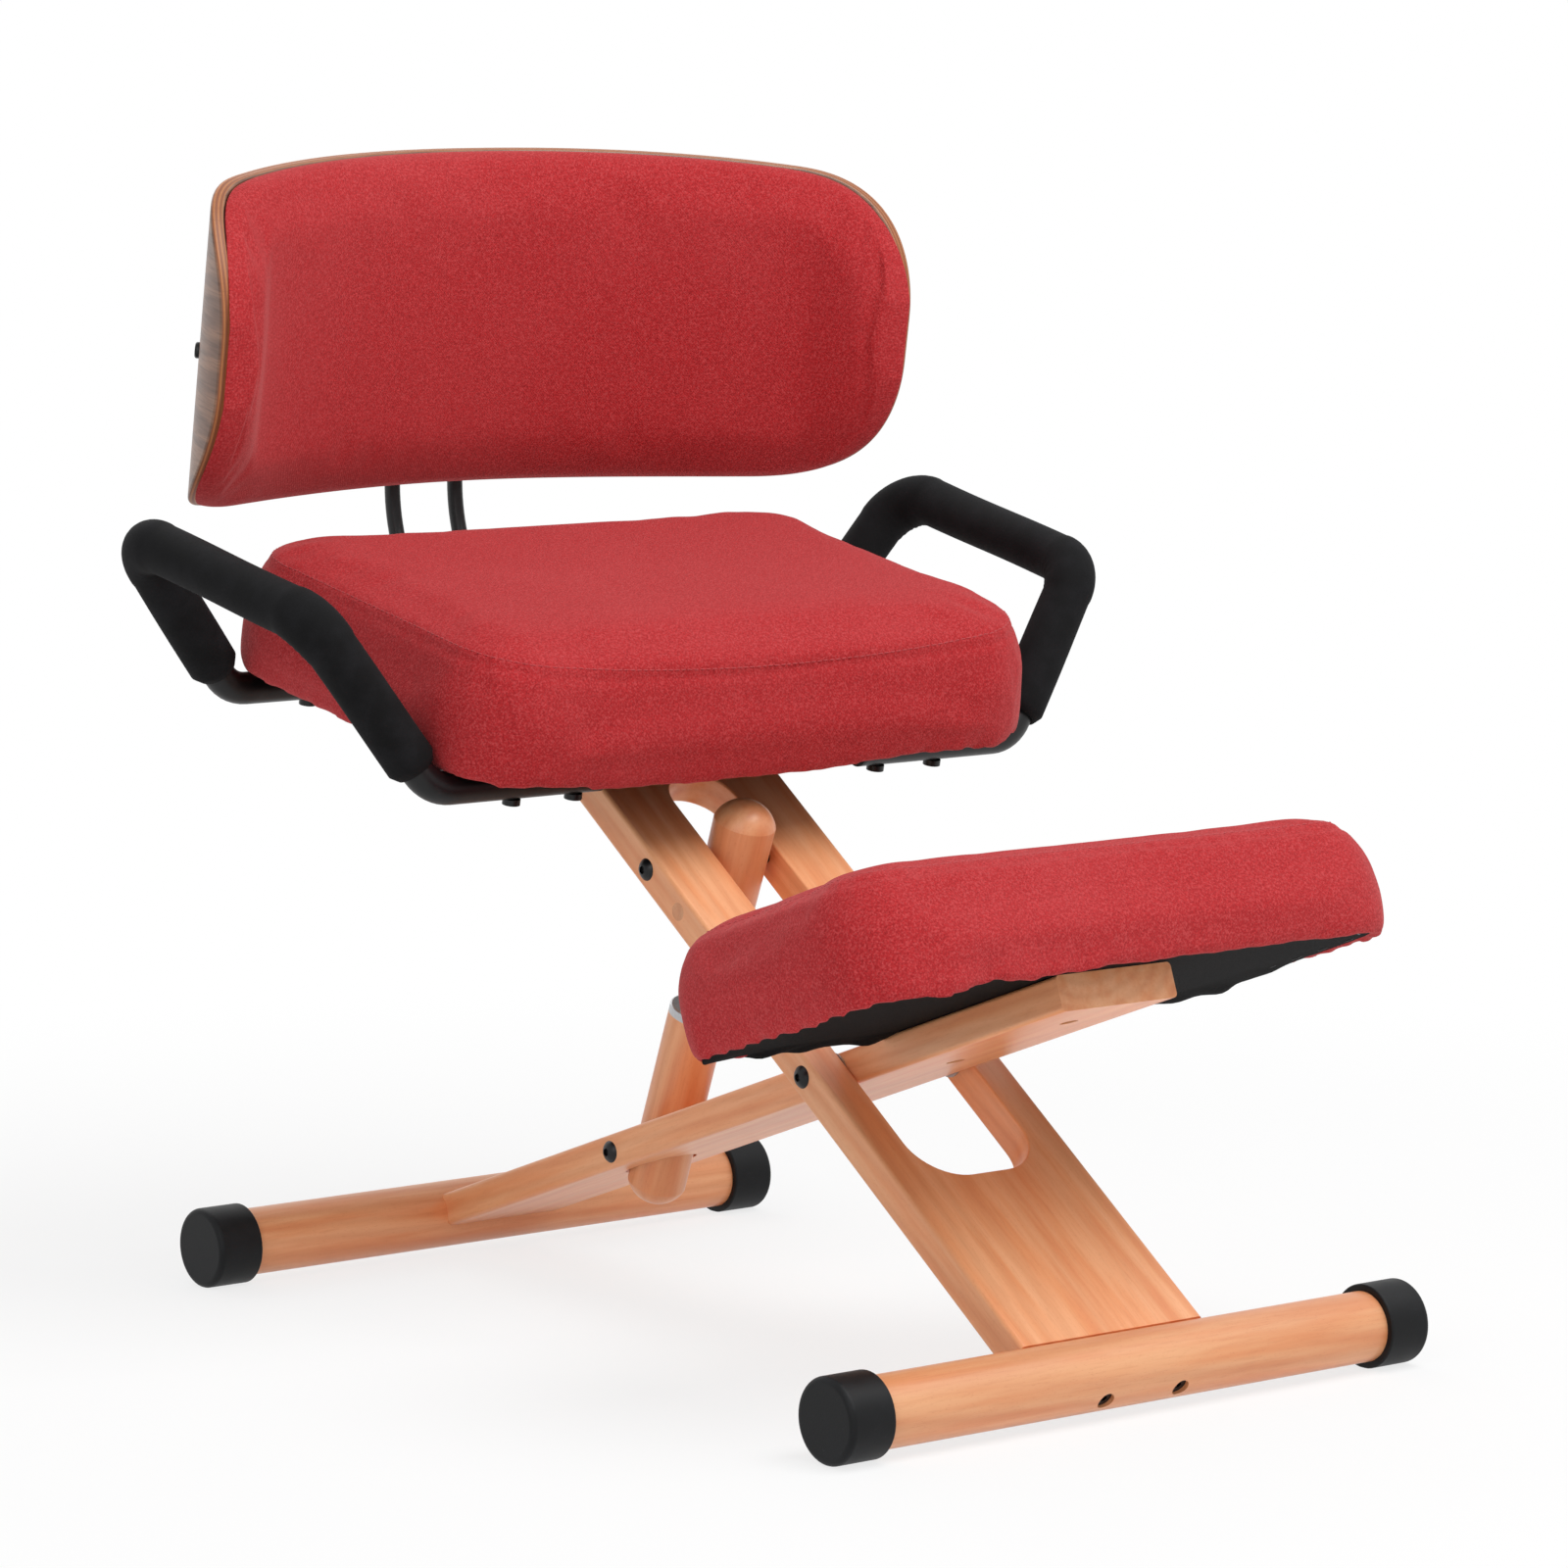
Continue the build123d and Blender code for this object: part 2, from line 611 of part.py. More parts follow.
# Side handles
handle_drop = -(COVER_THICK + TUBE_DIA / 2)
handle_end_x = SEAT_WIDTH / 2 - HANDLE_END_IN
handle_elbow_x = SEAT_WIDTH / 2 + HANDLE_ELBOW_OUT
handle_front_x = SEAT_WIDTH / 2 + HANDLE_FRONT_OUT
handle_rear_x = SEAT_WIDTH / 2 + HANDLE_REAR_OUT


def handle_points():
    """Corner points of the right handle in the seat's own frame, front end to rear end."""
    return [
        Vector(handle_end_x, HANDLE_FRONT_BASE, handle_drop),
        Vector(handle_elbow_x, HANDLE_FRONT_BASE, handle_drop),
        Vector(handle_front_x, HANDLE_FRONT_TOP, HANDLE_FRONT_RISE),
        Vector(handle_rear_x, HANDLE_REAR_TOP, HANDLE_REAR_RISE),
        Vector(handle_elbow_x, HANDLE_REAR_BASE, handle_drop),
        Vector(handle_end_x, HANDLE_REAR_BASE, handle_drop),
    ]


def tube_along(points, radii, outer, inner):
    """Hollow round tube along straight runs joined by tangent arcs."""
    path = FilletPolyline(*points, radius=radii)
    start = Plane(origin=path @ 0, z_dir=path % 0)
    solid = sweep(start * Circle(outer), path=path)
    return solid - sweep(start * Circle(inner), path=path)


def make_handle_tube():
    radii = [ELBOW_RADIUS, CORNER_RADIUS, CORNER_RADIUS, ELBOW_RADIUS]
    tube = tube_along(handle_points(), radii, TUBE_DIA / 2, TUBE_DIA / 2 - TUBE_WALL)
    tube = seat_plane * tube
    for bolt in handle_bolts(FIT_GAP):
        tube -= bolt
    return tube


def make_grip():
    """Foam sleeve over both legs and the top of a handle."""
    pts = handle_points()
    front = pts[1] + (pts[2] - pts[1]).normalized() * GRIP_START
    rear = pts[4] + (pts[3] - pts[4]).normalized() * GRIP_START
    points = [front, pts[2], pts[3], rear]
    return seat_plane * tube_along(points, [CORNER_RADIUS] * 2, GRIP_DIA / 2, TUBE_DIA / 2 + FIT_GAP)


def handle_plugs():
    """Plastic plugs that close the inner ends of both handle tubes."""
    bore = TUBE_DIA - 2 * TUBE_WALL - 2 * FIT_GAP
    solids = []
    for side in (-1, 1):
        for y in (HANDLE_FRONT_BASE, HANDLE_REAR_BASE):
            mouth = seat_plane * Pos(side * handle_end_x, y, handle_drop) * Rot(0, 90 * side, 0)
            flange = stub(Plane.XY, 0, 0, -PLUG_FLANGE, 0, TUBE_DIA)
            solids.append(mouth * (flange + stub(Plane.XY, 0, 0, 0, PLUG_SPIGOT, bore)))
    return solids


def handle_bolts(grow=0.0):
    """Bolts up through both tube ends of each handle into the seat board."""
    low = handle_drop - TUBE_DIA / 2
    solids = []
    for side in (-1, 1):
        for y in (HANDLE_FRONT_BASE, HANDLE_REAR_BASE):
            for step in (0, HANDLE_BOLT_SPACING):
                x = side * (handle_end_x + HANDLE_BOLT_INSET + step)
                head = stub(seat_plane, x, y, low - HANDLE_BOLT_HEAD_LENGTH, low, HANDLE_BOLT_HEAD)
                shank = stub(seat_plane, x, y, low, BOLT_IN_BOARD, HANDLE_BOLT_DIA + 2 * grow)
                solids.append(head + shank if grow == 0 else shank)
    return solids


# Back rest
wing_start = radians(WING_START)
wing_view = radians(WING_VIEW)
wing_x = (BACK_RADIUS - WING_RADIUS) * sin(wing_start)
wing_y = (BACK_RADIUS - WING_RADIUS) * cos(wing_start) - BACK_RADIUS


def plan_point(turn, offset):
    """Point of the back's plan at a turn from its middle, offset to the rear of the shell's front face."""
    if turn <= wing_start:
        reach = BACK_RADIUS + offset
        return Vector(reach * sin(turn), reach * cos(turn) - BACK_RADIUS, 0)
    reach = WING_RADIUS + offset
    return Vector(wing_x + reach * sin(turn), wing_y + reach * cos(turn), 0)


def plan_turn(point):
    """Turn from the back's middle at which a point of its plan lies."""
    turn = atan2(point.X, point.Y + BACK_RADIUS)
    return turn if turn <= wing_start else atan2(point.X - wing_x, point.Y - wing_y)


def plan_line(offset, last):
    """The gentle middle arc and the tighter wing arc of the right half, at one offset."""
    middle = ThreePointArc(*[plan_point(wing_start * share, offset) for share in (0, 0.5, 1)])
    turns = [wing_start + (last - wing_start) * share for share in (0, 0.5, 1)]
    corner = plan_point(wing_start, offset)
    return [middle, ThreePointArc(corner, plan_point(turns[1], offset), plan_point(last, offset))]


def panel_end(inset):
    """Outline of one end as it is seen along the end's own middle, from the wing's centre: a bowed
    top and bottom edge that run into full round corners."""
    half_height = BACK_HEIGHT / 2 - inset
    corner = BACK_CORNER - inset
    tip = WING_RADIUS * sin(radians(WING_END) - wing_view) - inset
    middle = wing_y * sin(wing_view) - wing_x * cos(wing_view)
    span = tip - middle
    bow_radius = (span**2 + BACK_BOW**2) / (2 * BACK_BOW)
    outline = Pos(tip - 2 * BACK_RADIUS, 0) * Rectangle(4 * BACK_RADIUS, BACK_HEIGHT)
    for side in (-1, 1):
        outline &= Pos(middle, side * (bow_radius - half_height)) * Circle(bow_radius)
    return fillet(outline.vertices().group_by(Axis.X)[-1], corner)


def bent_panel(front, rear, inset, rounding, rounded):
    """Panel that bows to the rear between two offsets from the shell's front face, made as one half
    and mirrored. Its rim is rounded along the offsets that are named."""
    last = min(radians(WING_END) + SHELL_THICK / WING_RADIUS, radians(179))
    inner, outer = plan_line(front, last), plan_line(rear, last)
    ends = [Line(inner[0] @ 0, outer[0] @ 0), Line(inner[1] @ 1, outer[1] @ 1)]
    half = extrude(make_face(inner + outer + ends), BACK_HEIGHT / 2, both=True)
    view = Pos(wing_x, wing_y, 0) * Rot(0, 0, -WING_VIEW)
    half &= view * extrude(Plane.XZ * panel_end(inset), 4 * BACK_RADIUS, both=True)
    rim = []
    for edge in half.edges():
        spot = Vector((edge @ 0.5).X, (edge @ 0.5).Y, 0)
        turn = plan_turn(spot)
        upright = edge.geom_type == GeomType.LINE and turn < wing_start + FIT_GAP / WING_RADIUS
        on_rim = any((spot - plan_point(turn, offset)).length < FIT_GAP / 4 for offset in rounded)
        if on_rim and not upright:
            rim.append(edge)
    half = fillet(rim, rounding)
    return back_plane * (half + mirror(half, about=Plane.YZ))


def make_back_shell():
    shell = bent_panel(0, SHELL_THICK, 0, SHELL_ROUND, (0, SHELL_THICK))
    for screw in clamp_screws(FIT_GAP) + pad_screws(FIT_GAP):
        shell -= screw
    return shell


def make_back_pad():
    """Padding on the shell's hollow face with a soft rolled edge."""
    return bent_panel(-PAD_THICK, -PAD_SEAT_GAP, PAD_INSET, PAD_ROUND, (-PAD_THICK,))


def rod_path():
    """Middle line of one back rod in the stool's middle plane: under the seat, round, and up."""
    behind = SHELL_THICK + ROD_BEHIND + ROD_DIA / 2
    start = seat_plane.from_local_coords(Vector(0, SEAT_DEPTH / 2 - ROD_FORWARD, -COVER_THICK - ROD_DIA / 2))
    along = seat_plane.y_dir
    top = back_plane.from_local_coords(Vector(0, behind, ROD_TOP))
    down = -back_plane.z_dir
    gap = top - start
    cross = along.Y * down.Z - along.Z * down.Y
    reach = (gap.Y * down.Z - gap.Z * down.Y) / cross
    return [start, start + along * reach, top]


def make_back_rods():
    path = FilletPolyline(*rod_path(), radius=ROD_BEND)
    start = Plane(origin=path @ 0, z_dir=path % 0)
    rod = sweep(start * Circle(ROD_DIA / 2), path=path)
    rod = fillet(rod.edges().filter_by(GeomType.CIRCLE).sort_by(Axis.Z)[-1], ROD_ROUND)
    return group([Pos(x, 0, 0) * rod for x in (-ROD_SPACING / 2, ROD_SPACING / 2)])


def clamp_heights():
    return (ROD_TOP - CLAMP_HEIGHT, ROD_TOP - CLAMP_HEIGHT - CLAMP_SPACING)


clamp_depth = ROD_BEHIND + ROD_DIA + ROD_GAP + CLAMP_WALL


def make_rod_clamps():
    """Saddle blocks that hold both rods against the rear of the shell."""
    blocks = []
    for z in clamp_heights():
        blank = Pos(0, -BACK_RADIUS / 4 + SHELL_THICK + clamp_depth, z) * Box(
            CLAMP_WIDTH, BACK_RADIUS / 4, CLAMP_HEIGHT, align=(Align.CENTER, Align.MIN, Align.CENTER)
        )
        block = fillet(blank.edges().filter_by(Axis.Z), CLAMP_WALL)
        block -= Pos(0, -BACK_RADIUS, 0) * Cylinder(BACK_RADIUS + SHELL_THICK, 4 * BACK_HEIGHT)
        for x in (-ROD_SPACING / 2, ROD_SPACING / 2):
            y = SHELL_THICK + ROD_BEHIND + ROD_DIA / 2
            block -= Pos(x, y, 0) * Cylinder(ROD_DIA / 2 + ROD_GAP, 4 * BACK_HEIGHT)
        block = back_plane * block
        for screw in clamp_screws(FIT_GAP):
            block -= screw
        blocks.append(block)
    return group(blocks)


def shell_screw(x, y0, y1, z, grow, head, head_length):
    """Screw along the back's own Y, entering from the rear; y0 is its tip and y1 its head's seat."""
    tip = back_plane * Pos(x, y0, z) * Rot(-90, 0, 0)
    shank = Cylinder(SMALL_SCREW_DIA / 2 + grow, y1 - y0, align=(Align.CENTER, Align.CENTER, Align.MIN))
    solid = tip * shank
    if grow == 0:
        cap = Cylinder(head / 2, head_length, align=(Align.CENTER, Align.CENTER, Align.MIN))
        cap = fillet(cap.edges().sort_by(Axis.Z)[-1], head_length / 3)
        solid += back_plane * Pos(x, y1, z) * Rot(-90, 0, 0) * cap
    return solid


def clamp_screws(grow=0.0):
    bow = BACK_RADIUS - (BACK_RADIUS**2 - (CLAMP_SCREW_SPACING / 2) ** 2) ** 0.5
    tip = SHELL_THICK - SCREW_IN_SHELL - bow
    seat = SHELL_THICK + clamp_depth
    spots = [(x, z) for x in (-CLAMP_SCREW_SPACING / 2, CLAMP_SCREW_SPACING / 2) for z in clamp_heights()]
    return [shell_screw(x, tip, seat, z, grow, SMALL_SCREW_HEAD, SMALL_SCREW_HEAD_LENGTH) for x, z in spots]


def pad_screws(grow=0.0):
    """Round-headed screws from the rear of the shell that hold the padding near both ends."""
    solids = []
    for side in (-1, 1):
        turn = back_plane * Pos(side * wing_x, wing_y, 0) * Rot(0, 0, -side * PAD_SCREW_ANGLE)
        face = turn * Pos(0, WING_RADIUS + SHELL_THICK, 0) * Rot(-90, 0, 0)
        solid = face * stub(Plane.XY, 0, 0, -SCREW_IN_SHELL, 0, SMALL_SCREW_DIA + 2 * grow)
        if grow == 0:
            head = stub(Plane.XY, 0, 0, 0, PAD_SCREW_RISE, PAD_SCREW_HEAD)
            solid += face * fillet(head.edges().sort_by(Axis.Z)[-1], PAD_SCREW_RISE / 2)
        solids.append(solid)
    return solids


def strap_places():
    first = SEAT_DEPTH / 2 - ROD_FORWARD + STRAP_FIRST
    return (first, first + STRAP_SPACING)


def make_rod_straps():
    """Saddle straps under the seat that hold the rods' straight ends."""
    low = -COVER_THICK - ROD_DIA - ROD_GAP - CLAMP_WALL
    straps = []
    for y in strap_places():
        strap = slab(seat_plane * Pos(0, y, 0), CLAMP_WIDTH, STRAP_LENGTH, CLAMP_WALL, low, -COVER_THICK)
        for x in (-ROD_SPACING / 2, ROD_SPACING / 2):
            bore = Cylinder(ROD_DIA / 2 + ROD_GAP, 4 * SEAT_DEPTH)
            strap -= seat_plane * Pos(x, y, -COVER_THICK - ROD_DIA / 2) * Rot(90, 0, 0) * bore
        for screw in strap_screws(FIT_GAP):
            strap -= screw
        straps.append(strap)
    return group(straps)


def strap_screws(grow=0.0):
    low = -COVER_THICK - ROD_DIA - ROD_GAP - CLAMP_WALL
    solids = []
    for y in strap_places():
        for x in (-CLAMP_SCREW_SPACING / 2, CLAMP_SCREW_SPACING / 2):
            solid = stub(seat_plane, x, y, low, BOLT_IN_BOARD, SMALL_SCREW_DIA + 2 * grow)
            if grow == 0:
                solid += stub(seat_plane, x, y, low - SMALL_SCREW_HEAD_LENGTH, low, SMALL_SCREW_HEAD)
            solids.append(solid)
    return solids


def build():
    """Every node of the stool by name."""
    tube = make_handle_tube()
    grip = make_grip()
    half_board = BOARD_WIDTH / 2
    half_arm = ARM_WIDTH / 2
    return {
        "frame_board": make_frame_board(),
        "front_foot_bar": foot_bar(FRONT_BAR, frame_plane, 1, BOARD_WIDTH, FRAME_BOLT_SPACING),
        "front_foot_caps": foot_caps(FRONT_BAR),
        "front_bar_bolts": group(bar_bolts(FRONT_BAR, frame_plane, 1, FRAME_BOLT_SPACING)),
        "pivot_bolt": cross_bolt(PIVOT_DIA, half_board, PIVOT),
        "pivot_nut": cross_nut(half_board, PIVOT),
        "pivot_washers": pivot_washers(),
        "post_bolt": cross_bolt(PIN_DIA, half_board, POST_PIN),
        "post_nut": cross_nut(half_board, POST_PIN),
        "hole_plugs": group(hole_plugs()),
        "seat_board": make_seat_board(),
        "seat_cover": make_seat_cover(),
        "seat_cushion": make_seat_cushion(),
        "seat_screws": group(seat_screws()),
        "handle_tube_right": mirror(tube, about=Plane.YZ),
        "handle_tube_left": tube,
        "handle_grip_right": mirror(grip, about=Plane.YZ),
        "handle_grip_left": grip,
        "handle_plugs": group(handle_plugs()),
        "handle_bolts": group(handle_bolts()),
        "back_rods": make_back_rods(),
        "rod_straps": make_rod_straps(),
        "strap_screws": group(strap_screws()),
        "rod_clamps": make_rod_clamps(),
        "clamp_screws": group(clamp_screws()),
        "back_shell": make_back_shell(),
        "back_pad": make_back_pad(),
        "pad_screws": group(pad_screws()),
        "knee_arm": make_knee_arm(),
        "rear_foot_bar": foot_bar(REAR_BAR, arm_plane, -1, ARM_WIDTH, ARM_BOLT_SPACING),
        "rear_foot_caps": foot_caps(REAR_BAR),
        "rear_bar_bolts": group(bar_bolts(REAR_BAR, arm_plane, -1, ARM_BOLT_SPACING)),
        "arm_pin": cross_bolt(PIN_DIA, half_arm, ARM_PIN_POINT),
        "arm_pin_nut": cross_nut(half_arm, ARM_PIN_POINT),
        "knee_board": make_knee_board(),
        "knee_cover": make_knee_cover(),
        "knee_cushion": make_knee_cushion(),
        "knee_screws": group(knee_screws()),
        "adjuster_post": make_post(),
        "adjuster_spindle": make_spindle(),
        "adjuster_sleeve": make_sleeve(),
        "adjuster_ferrule": make_ferrule(),
    }


os.makedirs("parts", exist_ok=True)
nodes = build()
for name, shape in nodes.items():
    export_step(shape, f"parts/{name}.step")
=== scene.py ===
"""Dresses the kneeling posture stool: red woven cushions over foam, beech with a satin varnish,
a bent plywood back, foam side grips and black fittings, in a plain pale studio."""
import bpy
import bmesh
import numpy as np
from math import asin, atan2, cos, hypot, pi, radians, sin, sqrt
from mathutils import Matrix, Vector
from mathutils.bvhtree import BVHTree


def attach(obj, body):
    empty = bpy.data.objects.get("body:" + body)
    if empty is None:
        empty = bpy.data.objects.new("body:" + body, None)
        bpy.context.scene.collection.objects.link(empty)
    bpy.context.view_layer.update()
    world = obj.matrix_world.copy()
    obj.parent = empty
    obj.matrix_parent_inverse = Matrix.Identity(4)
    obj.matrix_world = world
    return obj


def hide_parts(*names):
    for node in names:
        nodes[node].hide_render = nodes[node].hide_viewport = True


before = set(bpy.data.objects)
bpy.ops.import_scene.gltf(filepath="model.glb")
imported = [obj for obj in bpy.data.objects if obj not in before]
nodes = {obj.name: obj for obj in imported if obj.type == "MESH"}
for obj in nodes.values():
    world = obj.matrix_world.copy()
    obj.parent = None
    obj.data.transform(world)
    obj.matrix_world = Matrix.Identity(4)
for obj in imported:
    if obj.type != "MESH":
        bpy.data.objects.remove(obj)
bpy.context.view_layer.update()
scene = bpy.context.scene

# Main places of the stool, in metres, as the solids have them
MM = 0.001
PIVOT = np.array([0.0, -136.45, 189.299]) * MM
FRAME_TURN = radians(35.4)
ARM_TURN = -asin(162.199 / 483.0)
SEAT_TURN = radians(11.0)
BACK_TURN = radians(9.3)
SEAT_PLACE = PIVOT + np.array([0.0, 279.0, 215.5]) * MM
BACK_PLACE = PIVOT + np.array([0.0, 468.8, 469.9]) * MM
KNEE_PLACE = PIVOT + np.array([0.0, -160.0 * cos(ARM_TURN), -160.0 * sin(ARM_TURN)]) * MM
POST_TURN = atan2(77.4197, 203.3193)


# A small language for node trees
def maths(operation, swapped=False):
    """A method that joins a value to others with one maths node."""
    def method(self, *others):
        values = (*others, self) if swapped else (self, *others)
        return self.graph.add("ShaderNodeMath", {"operation": operation}, dict(enumerate(values)))
    return method


class Socket:
    """One value in a node tree, written with ordinary operators."""
    __add__ = __radd__ = maths("ADD")
    __mul__ = __rmul__ = maths("MULTIPLY")
    __sub__ = maths("SUBTRACT")
    __rsub__ = maths("SUBTRACT", swapped=True)
    __truediv__ = maths("DIVIDE")
    __pow__ = maths("POWER")
    sine = maths("SINE")
    absolute = maths("ABSOLUTE")
    part = maths("FRACT")
    root = maths("SQRT")
    at_least = maths("MAXIMUM")

    def __init__(self, graph, socket):
        self.graph = graph
        self.socket = socket


class Graph:
    """A node tree whose nodes all come from one method."""

    def __init__(self, tree):
        self.tree = tree

    def add(self, kind, settings, sockets, output=0):
        node = self.tree.nodes.new(kind)
        for name, value in settings.items():
            setattr(node, name, value)
        for name, value in sockets.items():
            if isinstance(value, Socket):
                self.tree.links.new(value.socket, node.inputs[name])
            else:
                node.inputs[name].default_value = value
        if output is None:
            return node
        return Socket(self, node.outputs[output])


def paint(red, green, blue):
    """A colour as it looks on screen, from 0 to 255, as a linear value."""
    linear = []
    for part in (red, green, blue):
        share = part / 255
        linear.append(share / 12.92 if share <= 0.04045 else ((share + 0.055) / 1.055) ** 2.4)
    return (*linear, 1.0)


class Finish(Graph):
    """A material and the few patterns that its surface is made from."""

    def __init__(self, name):
        self.material = bpy.data.materials.new(name)
        self.material.use_nodes = True
        super().__init__(self.material.node_tree)
        self.tree.nodes.clear()

    def place(self, turn=0.0, stretch=(1, 1, 1), centre=(0, 0, 0)):
        """Object coordinates about a centre, turned about X into a piece's own directions."""
        where = self.add("ShaderNodeTexCoord", {}, {}, "Object")
        moved = self.add("ShaderNodeMapping", {}, {"Vector": where, "Location": [-c for c in centre]})
        turned = self.add("ShaderNodeMapping", {}, {"Vector": moved, "Rotation": (-turn, 0, 0)})
        return self.add("ShaderNodeMapping", {}, {"Vector": turned, "Scale": stretch})

    def along(self, vector, axis):
        return self.add("ShaderNodeSeparateXYZ", {}, {0: vector}, axis)

    def noise(self, where, scale, detail=2.0, rough=0.5):
        return self.add("ShaderNodeTexNoise", {}, {
            "Vector": where, "Scale": scale, "Detail": detail, "Roughness": rough})

    def cells(self, where, scale):
        return self.add("ShaderNodeTexVoronoi", {}, {"Vector": where, "Scale": scale})

    def band(self, value, low, high):
        """0 below low, 1 above high and a smooth step between; low may be the larger."""
        return self.add("ShaderNodeMapRange", {"interpolation_type": "SMOOTHSTEP"}, {
            "Value": value, "From Min": low, "From Max": high})

    def mix(self, share, first, second):
        return self.add("ShaderNodeMix", {"data_type": "RGBA"}, {0: share, 6: first, 7: second}, 2)

    def surface(self, colour, roughness, relief=None, depth=0.0003, strength=0.5, **constants):
        sockets = {"Base Color": colour, "Roughness": roughness}
        for name, value in constants.items():
            sockets[name.replace("_", " ").title().replace("Ior", "IOR")] = value
        if relief is not None:
            sockets["Normal"] = self.add("ShaderNodeBump", {}, {
                "Height": relief, "Strength": strength, "Distance": depth})
        shader = self.add("ShaderNodeBsdfPrincipled", {}, sockets)
        self.add("ShaderNodeOutputMaterial", {}, {"Surface": shader}, None)
        return self.material


# Finishes
BEECH_TONES = ((250, 184, 134), (242, 158, 104), (208, 114, 66))
RINGS_PER_METRE = 105.0
THREAD_PITCH = 0.0011


def beech(name, turn, grain_axis, heart, tone_and_painted_shade):
    """Steamed beech under satin varnish: growth rings about a heart line, fine fibres and short flecks."""
    wood = Finish(name)
    here = wood.place(turn, (1, 1, 1), PIVOT)
    thin = [1.0, 1.0, 1.0]
    thin[grain_axis] = 0.07
    fibre_place = wood.place(turn, thin, PIVOT)
    across = [axis for axis in range(3) if axis != grain_axis]
    first = wood.along(here, across[0]) - heart[0]
    second = wood.along(here, across[1]) - heart[1]
    length = wood.along(here, grain_axis)
    sway = wood.noise(fibre_place, 9.0, 2.0)
    reach = (first * first + second * second).root() + length * 0.035 + sway * 0.022
    rings = ((reach * RINGS_PER_METRE).part() - 0.5).absolute() * 2.0
    ring_tone = wood.band(rings, 0.15, 1.0)
    fibres = wood.noise(fibre_place, 620.0, 3.0, 0.65)
    streaks = wood.noise(fibre_place, 90.0, 2.0, 0.6)
    long_flecks = [170.0, 170.0, 170.0]
    long_flecks[grain_axis] = 26.0
    flecks = wood.cells(wood.place(turn, long_flecks, PIVOT), 7.0)
    fleck_tone = wood.band(flecks, 0.23, 0.10)
    # The tones are scaled for each piece; on the front bar the lower scale is painted shade.
    pale, warm, deep = (paint(*(part * tone_and_painted_shade for part in tone)) for tone in BEECH_TONES)
    colour = wood.mix(wood.band(streaks, 0.30, 0.72), pale, warm)
    colour = wood.mix(ring_tone * 0.20, colour, deep)
    colour = wood.mix(wood.band(fibres, 0.45, 0.75) * 0.20, colour, deep)
    colour = wood.mix(fleck_tone * 0.34, colour, deep)
    roughness = 0.36 + fibres * 0.16
    relief = fibres * 0.6 + fleck_tone * -0.5
    return wood.surface(colour, roughness, relief, 0.00012, 0.35, coat_weight=0.22, coat_roughness=0.28)


def red_weave():
    """Fine woven upholstery cloth; its threads follow the piece's own weave map."""
    cloth = Finish("red_weave")
    uv = cloth.add("ShaderNodeUVMap", {"uv_map": "weave"}, {})
    drift = cloth.noise(cloth.place(), 240.0, 2.0) * 2.4
    warp, weft = ((cloth.along(uv, axis) * (pi / THREAD_PITCH) + drift).sine() for axis in (0, 1))
    threads = 0.5 + warp * weft * 0.5
    fleece = cloth.noise(cloth.place(), 900.0, 3.0, 0.7)
    heather = cloth.noise(cloth.place(), 640.0, 3.0, 0.6)
    worn = cloth.noise(cloth.place(), 11.0, 3.0, 0.5)
    deep = paint(150, 26, 31)
    body = paint(190, 43, 47)
    light = paint(220, 95, 97)
    colour = cloth.mix(cloth.band(fleece, 0.33, 0.64), deep, body)
    colour = cloth.mix(cloth.band(heather, 0.42, 0.70) * 0.46, colour, light)
    colour = cloth.mix(cloth.band(worn, 0.40, 0.80) * 0.10, colour, light)
    colour = cloth.mix((1 - threads) * 0.22, colour, deep)
    roughness = 0.82 + heather * 0.14
    relief = threads * 0.55 + fleece * 0.6
    return cloth.surface(colour, roughness, relief, 0.0004, 0.55, sheen_weight=0.22, sheen_roughness=0.45,
                         sheen_tint=paint(240, 180, 178), specular_ior_level=0.22)


def red_thread():
    thread = Finish("red_thread")
    twist = thread.noise(thread.place(), 900.0, 2.0)
    colour = thread.mix(twist, paint(150, 28, 34), paint(205, 72, 76))
    return thread.surface(colour, 0.6 + twist * 0.2, twist, 0.0002, 0.4, sheen_weight=0.15)


def dust_cloth():
    """Black non-woven cloth with the small pressed dimples that such cloth has."""
    cloth = Finish("dust_cloth")
    here = cloth.place()
    dimples = cloth.band(cloth.cells(here, 420.0), 0.18, 0.5)
    fuzz = cloth.noise(here, 700.0, 3.0, 0.7)
    fade = cloth.noise(here, 16.0, 2.0)
    colour = cloth.mix(cloth.band(fuzz, 0.3, 0.8), paint(9, 9, 10), paint(24, 24, 25))
    colour = cloth.mix(fade * 0.2, colour, paint(40, 40, 41))
    return cloth.surface(colour, 0.8 + fuzz * 0.15, dimples * 0.7 + fuzz * 0.4, 0.0004, 0.6,
                         specular_ior_level=0.08)


def grip_foam():
    """Matt closed-cell foam with fine pores and a faint skin."""
    foam = Finish("grip_foam")
    here = foam.place()
    pores = foam.band(foam.cells(here, 900.0), 0.12, 0.42)
    skin = foam.noise(here, 60.0, 3.0)
    colour = foam.mix(foam.band(skin, 0.3, 0.8), paint(17, 17, 18), paint(29, 29, 31))
    colour = foam.mix((1 - pores) * 0.35, colour, paint(8, 8, 9))
    return foam.surface(colour, 0.78 + skin * 0.16, pores * 0.6 + skin * 0.3, 0.0003, 0.45,
                        specular_ior_level=0.15)


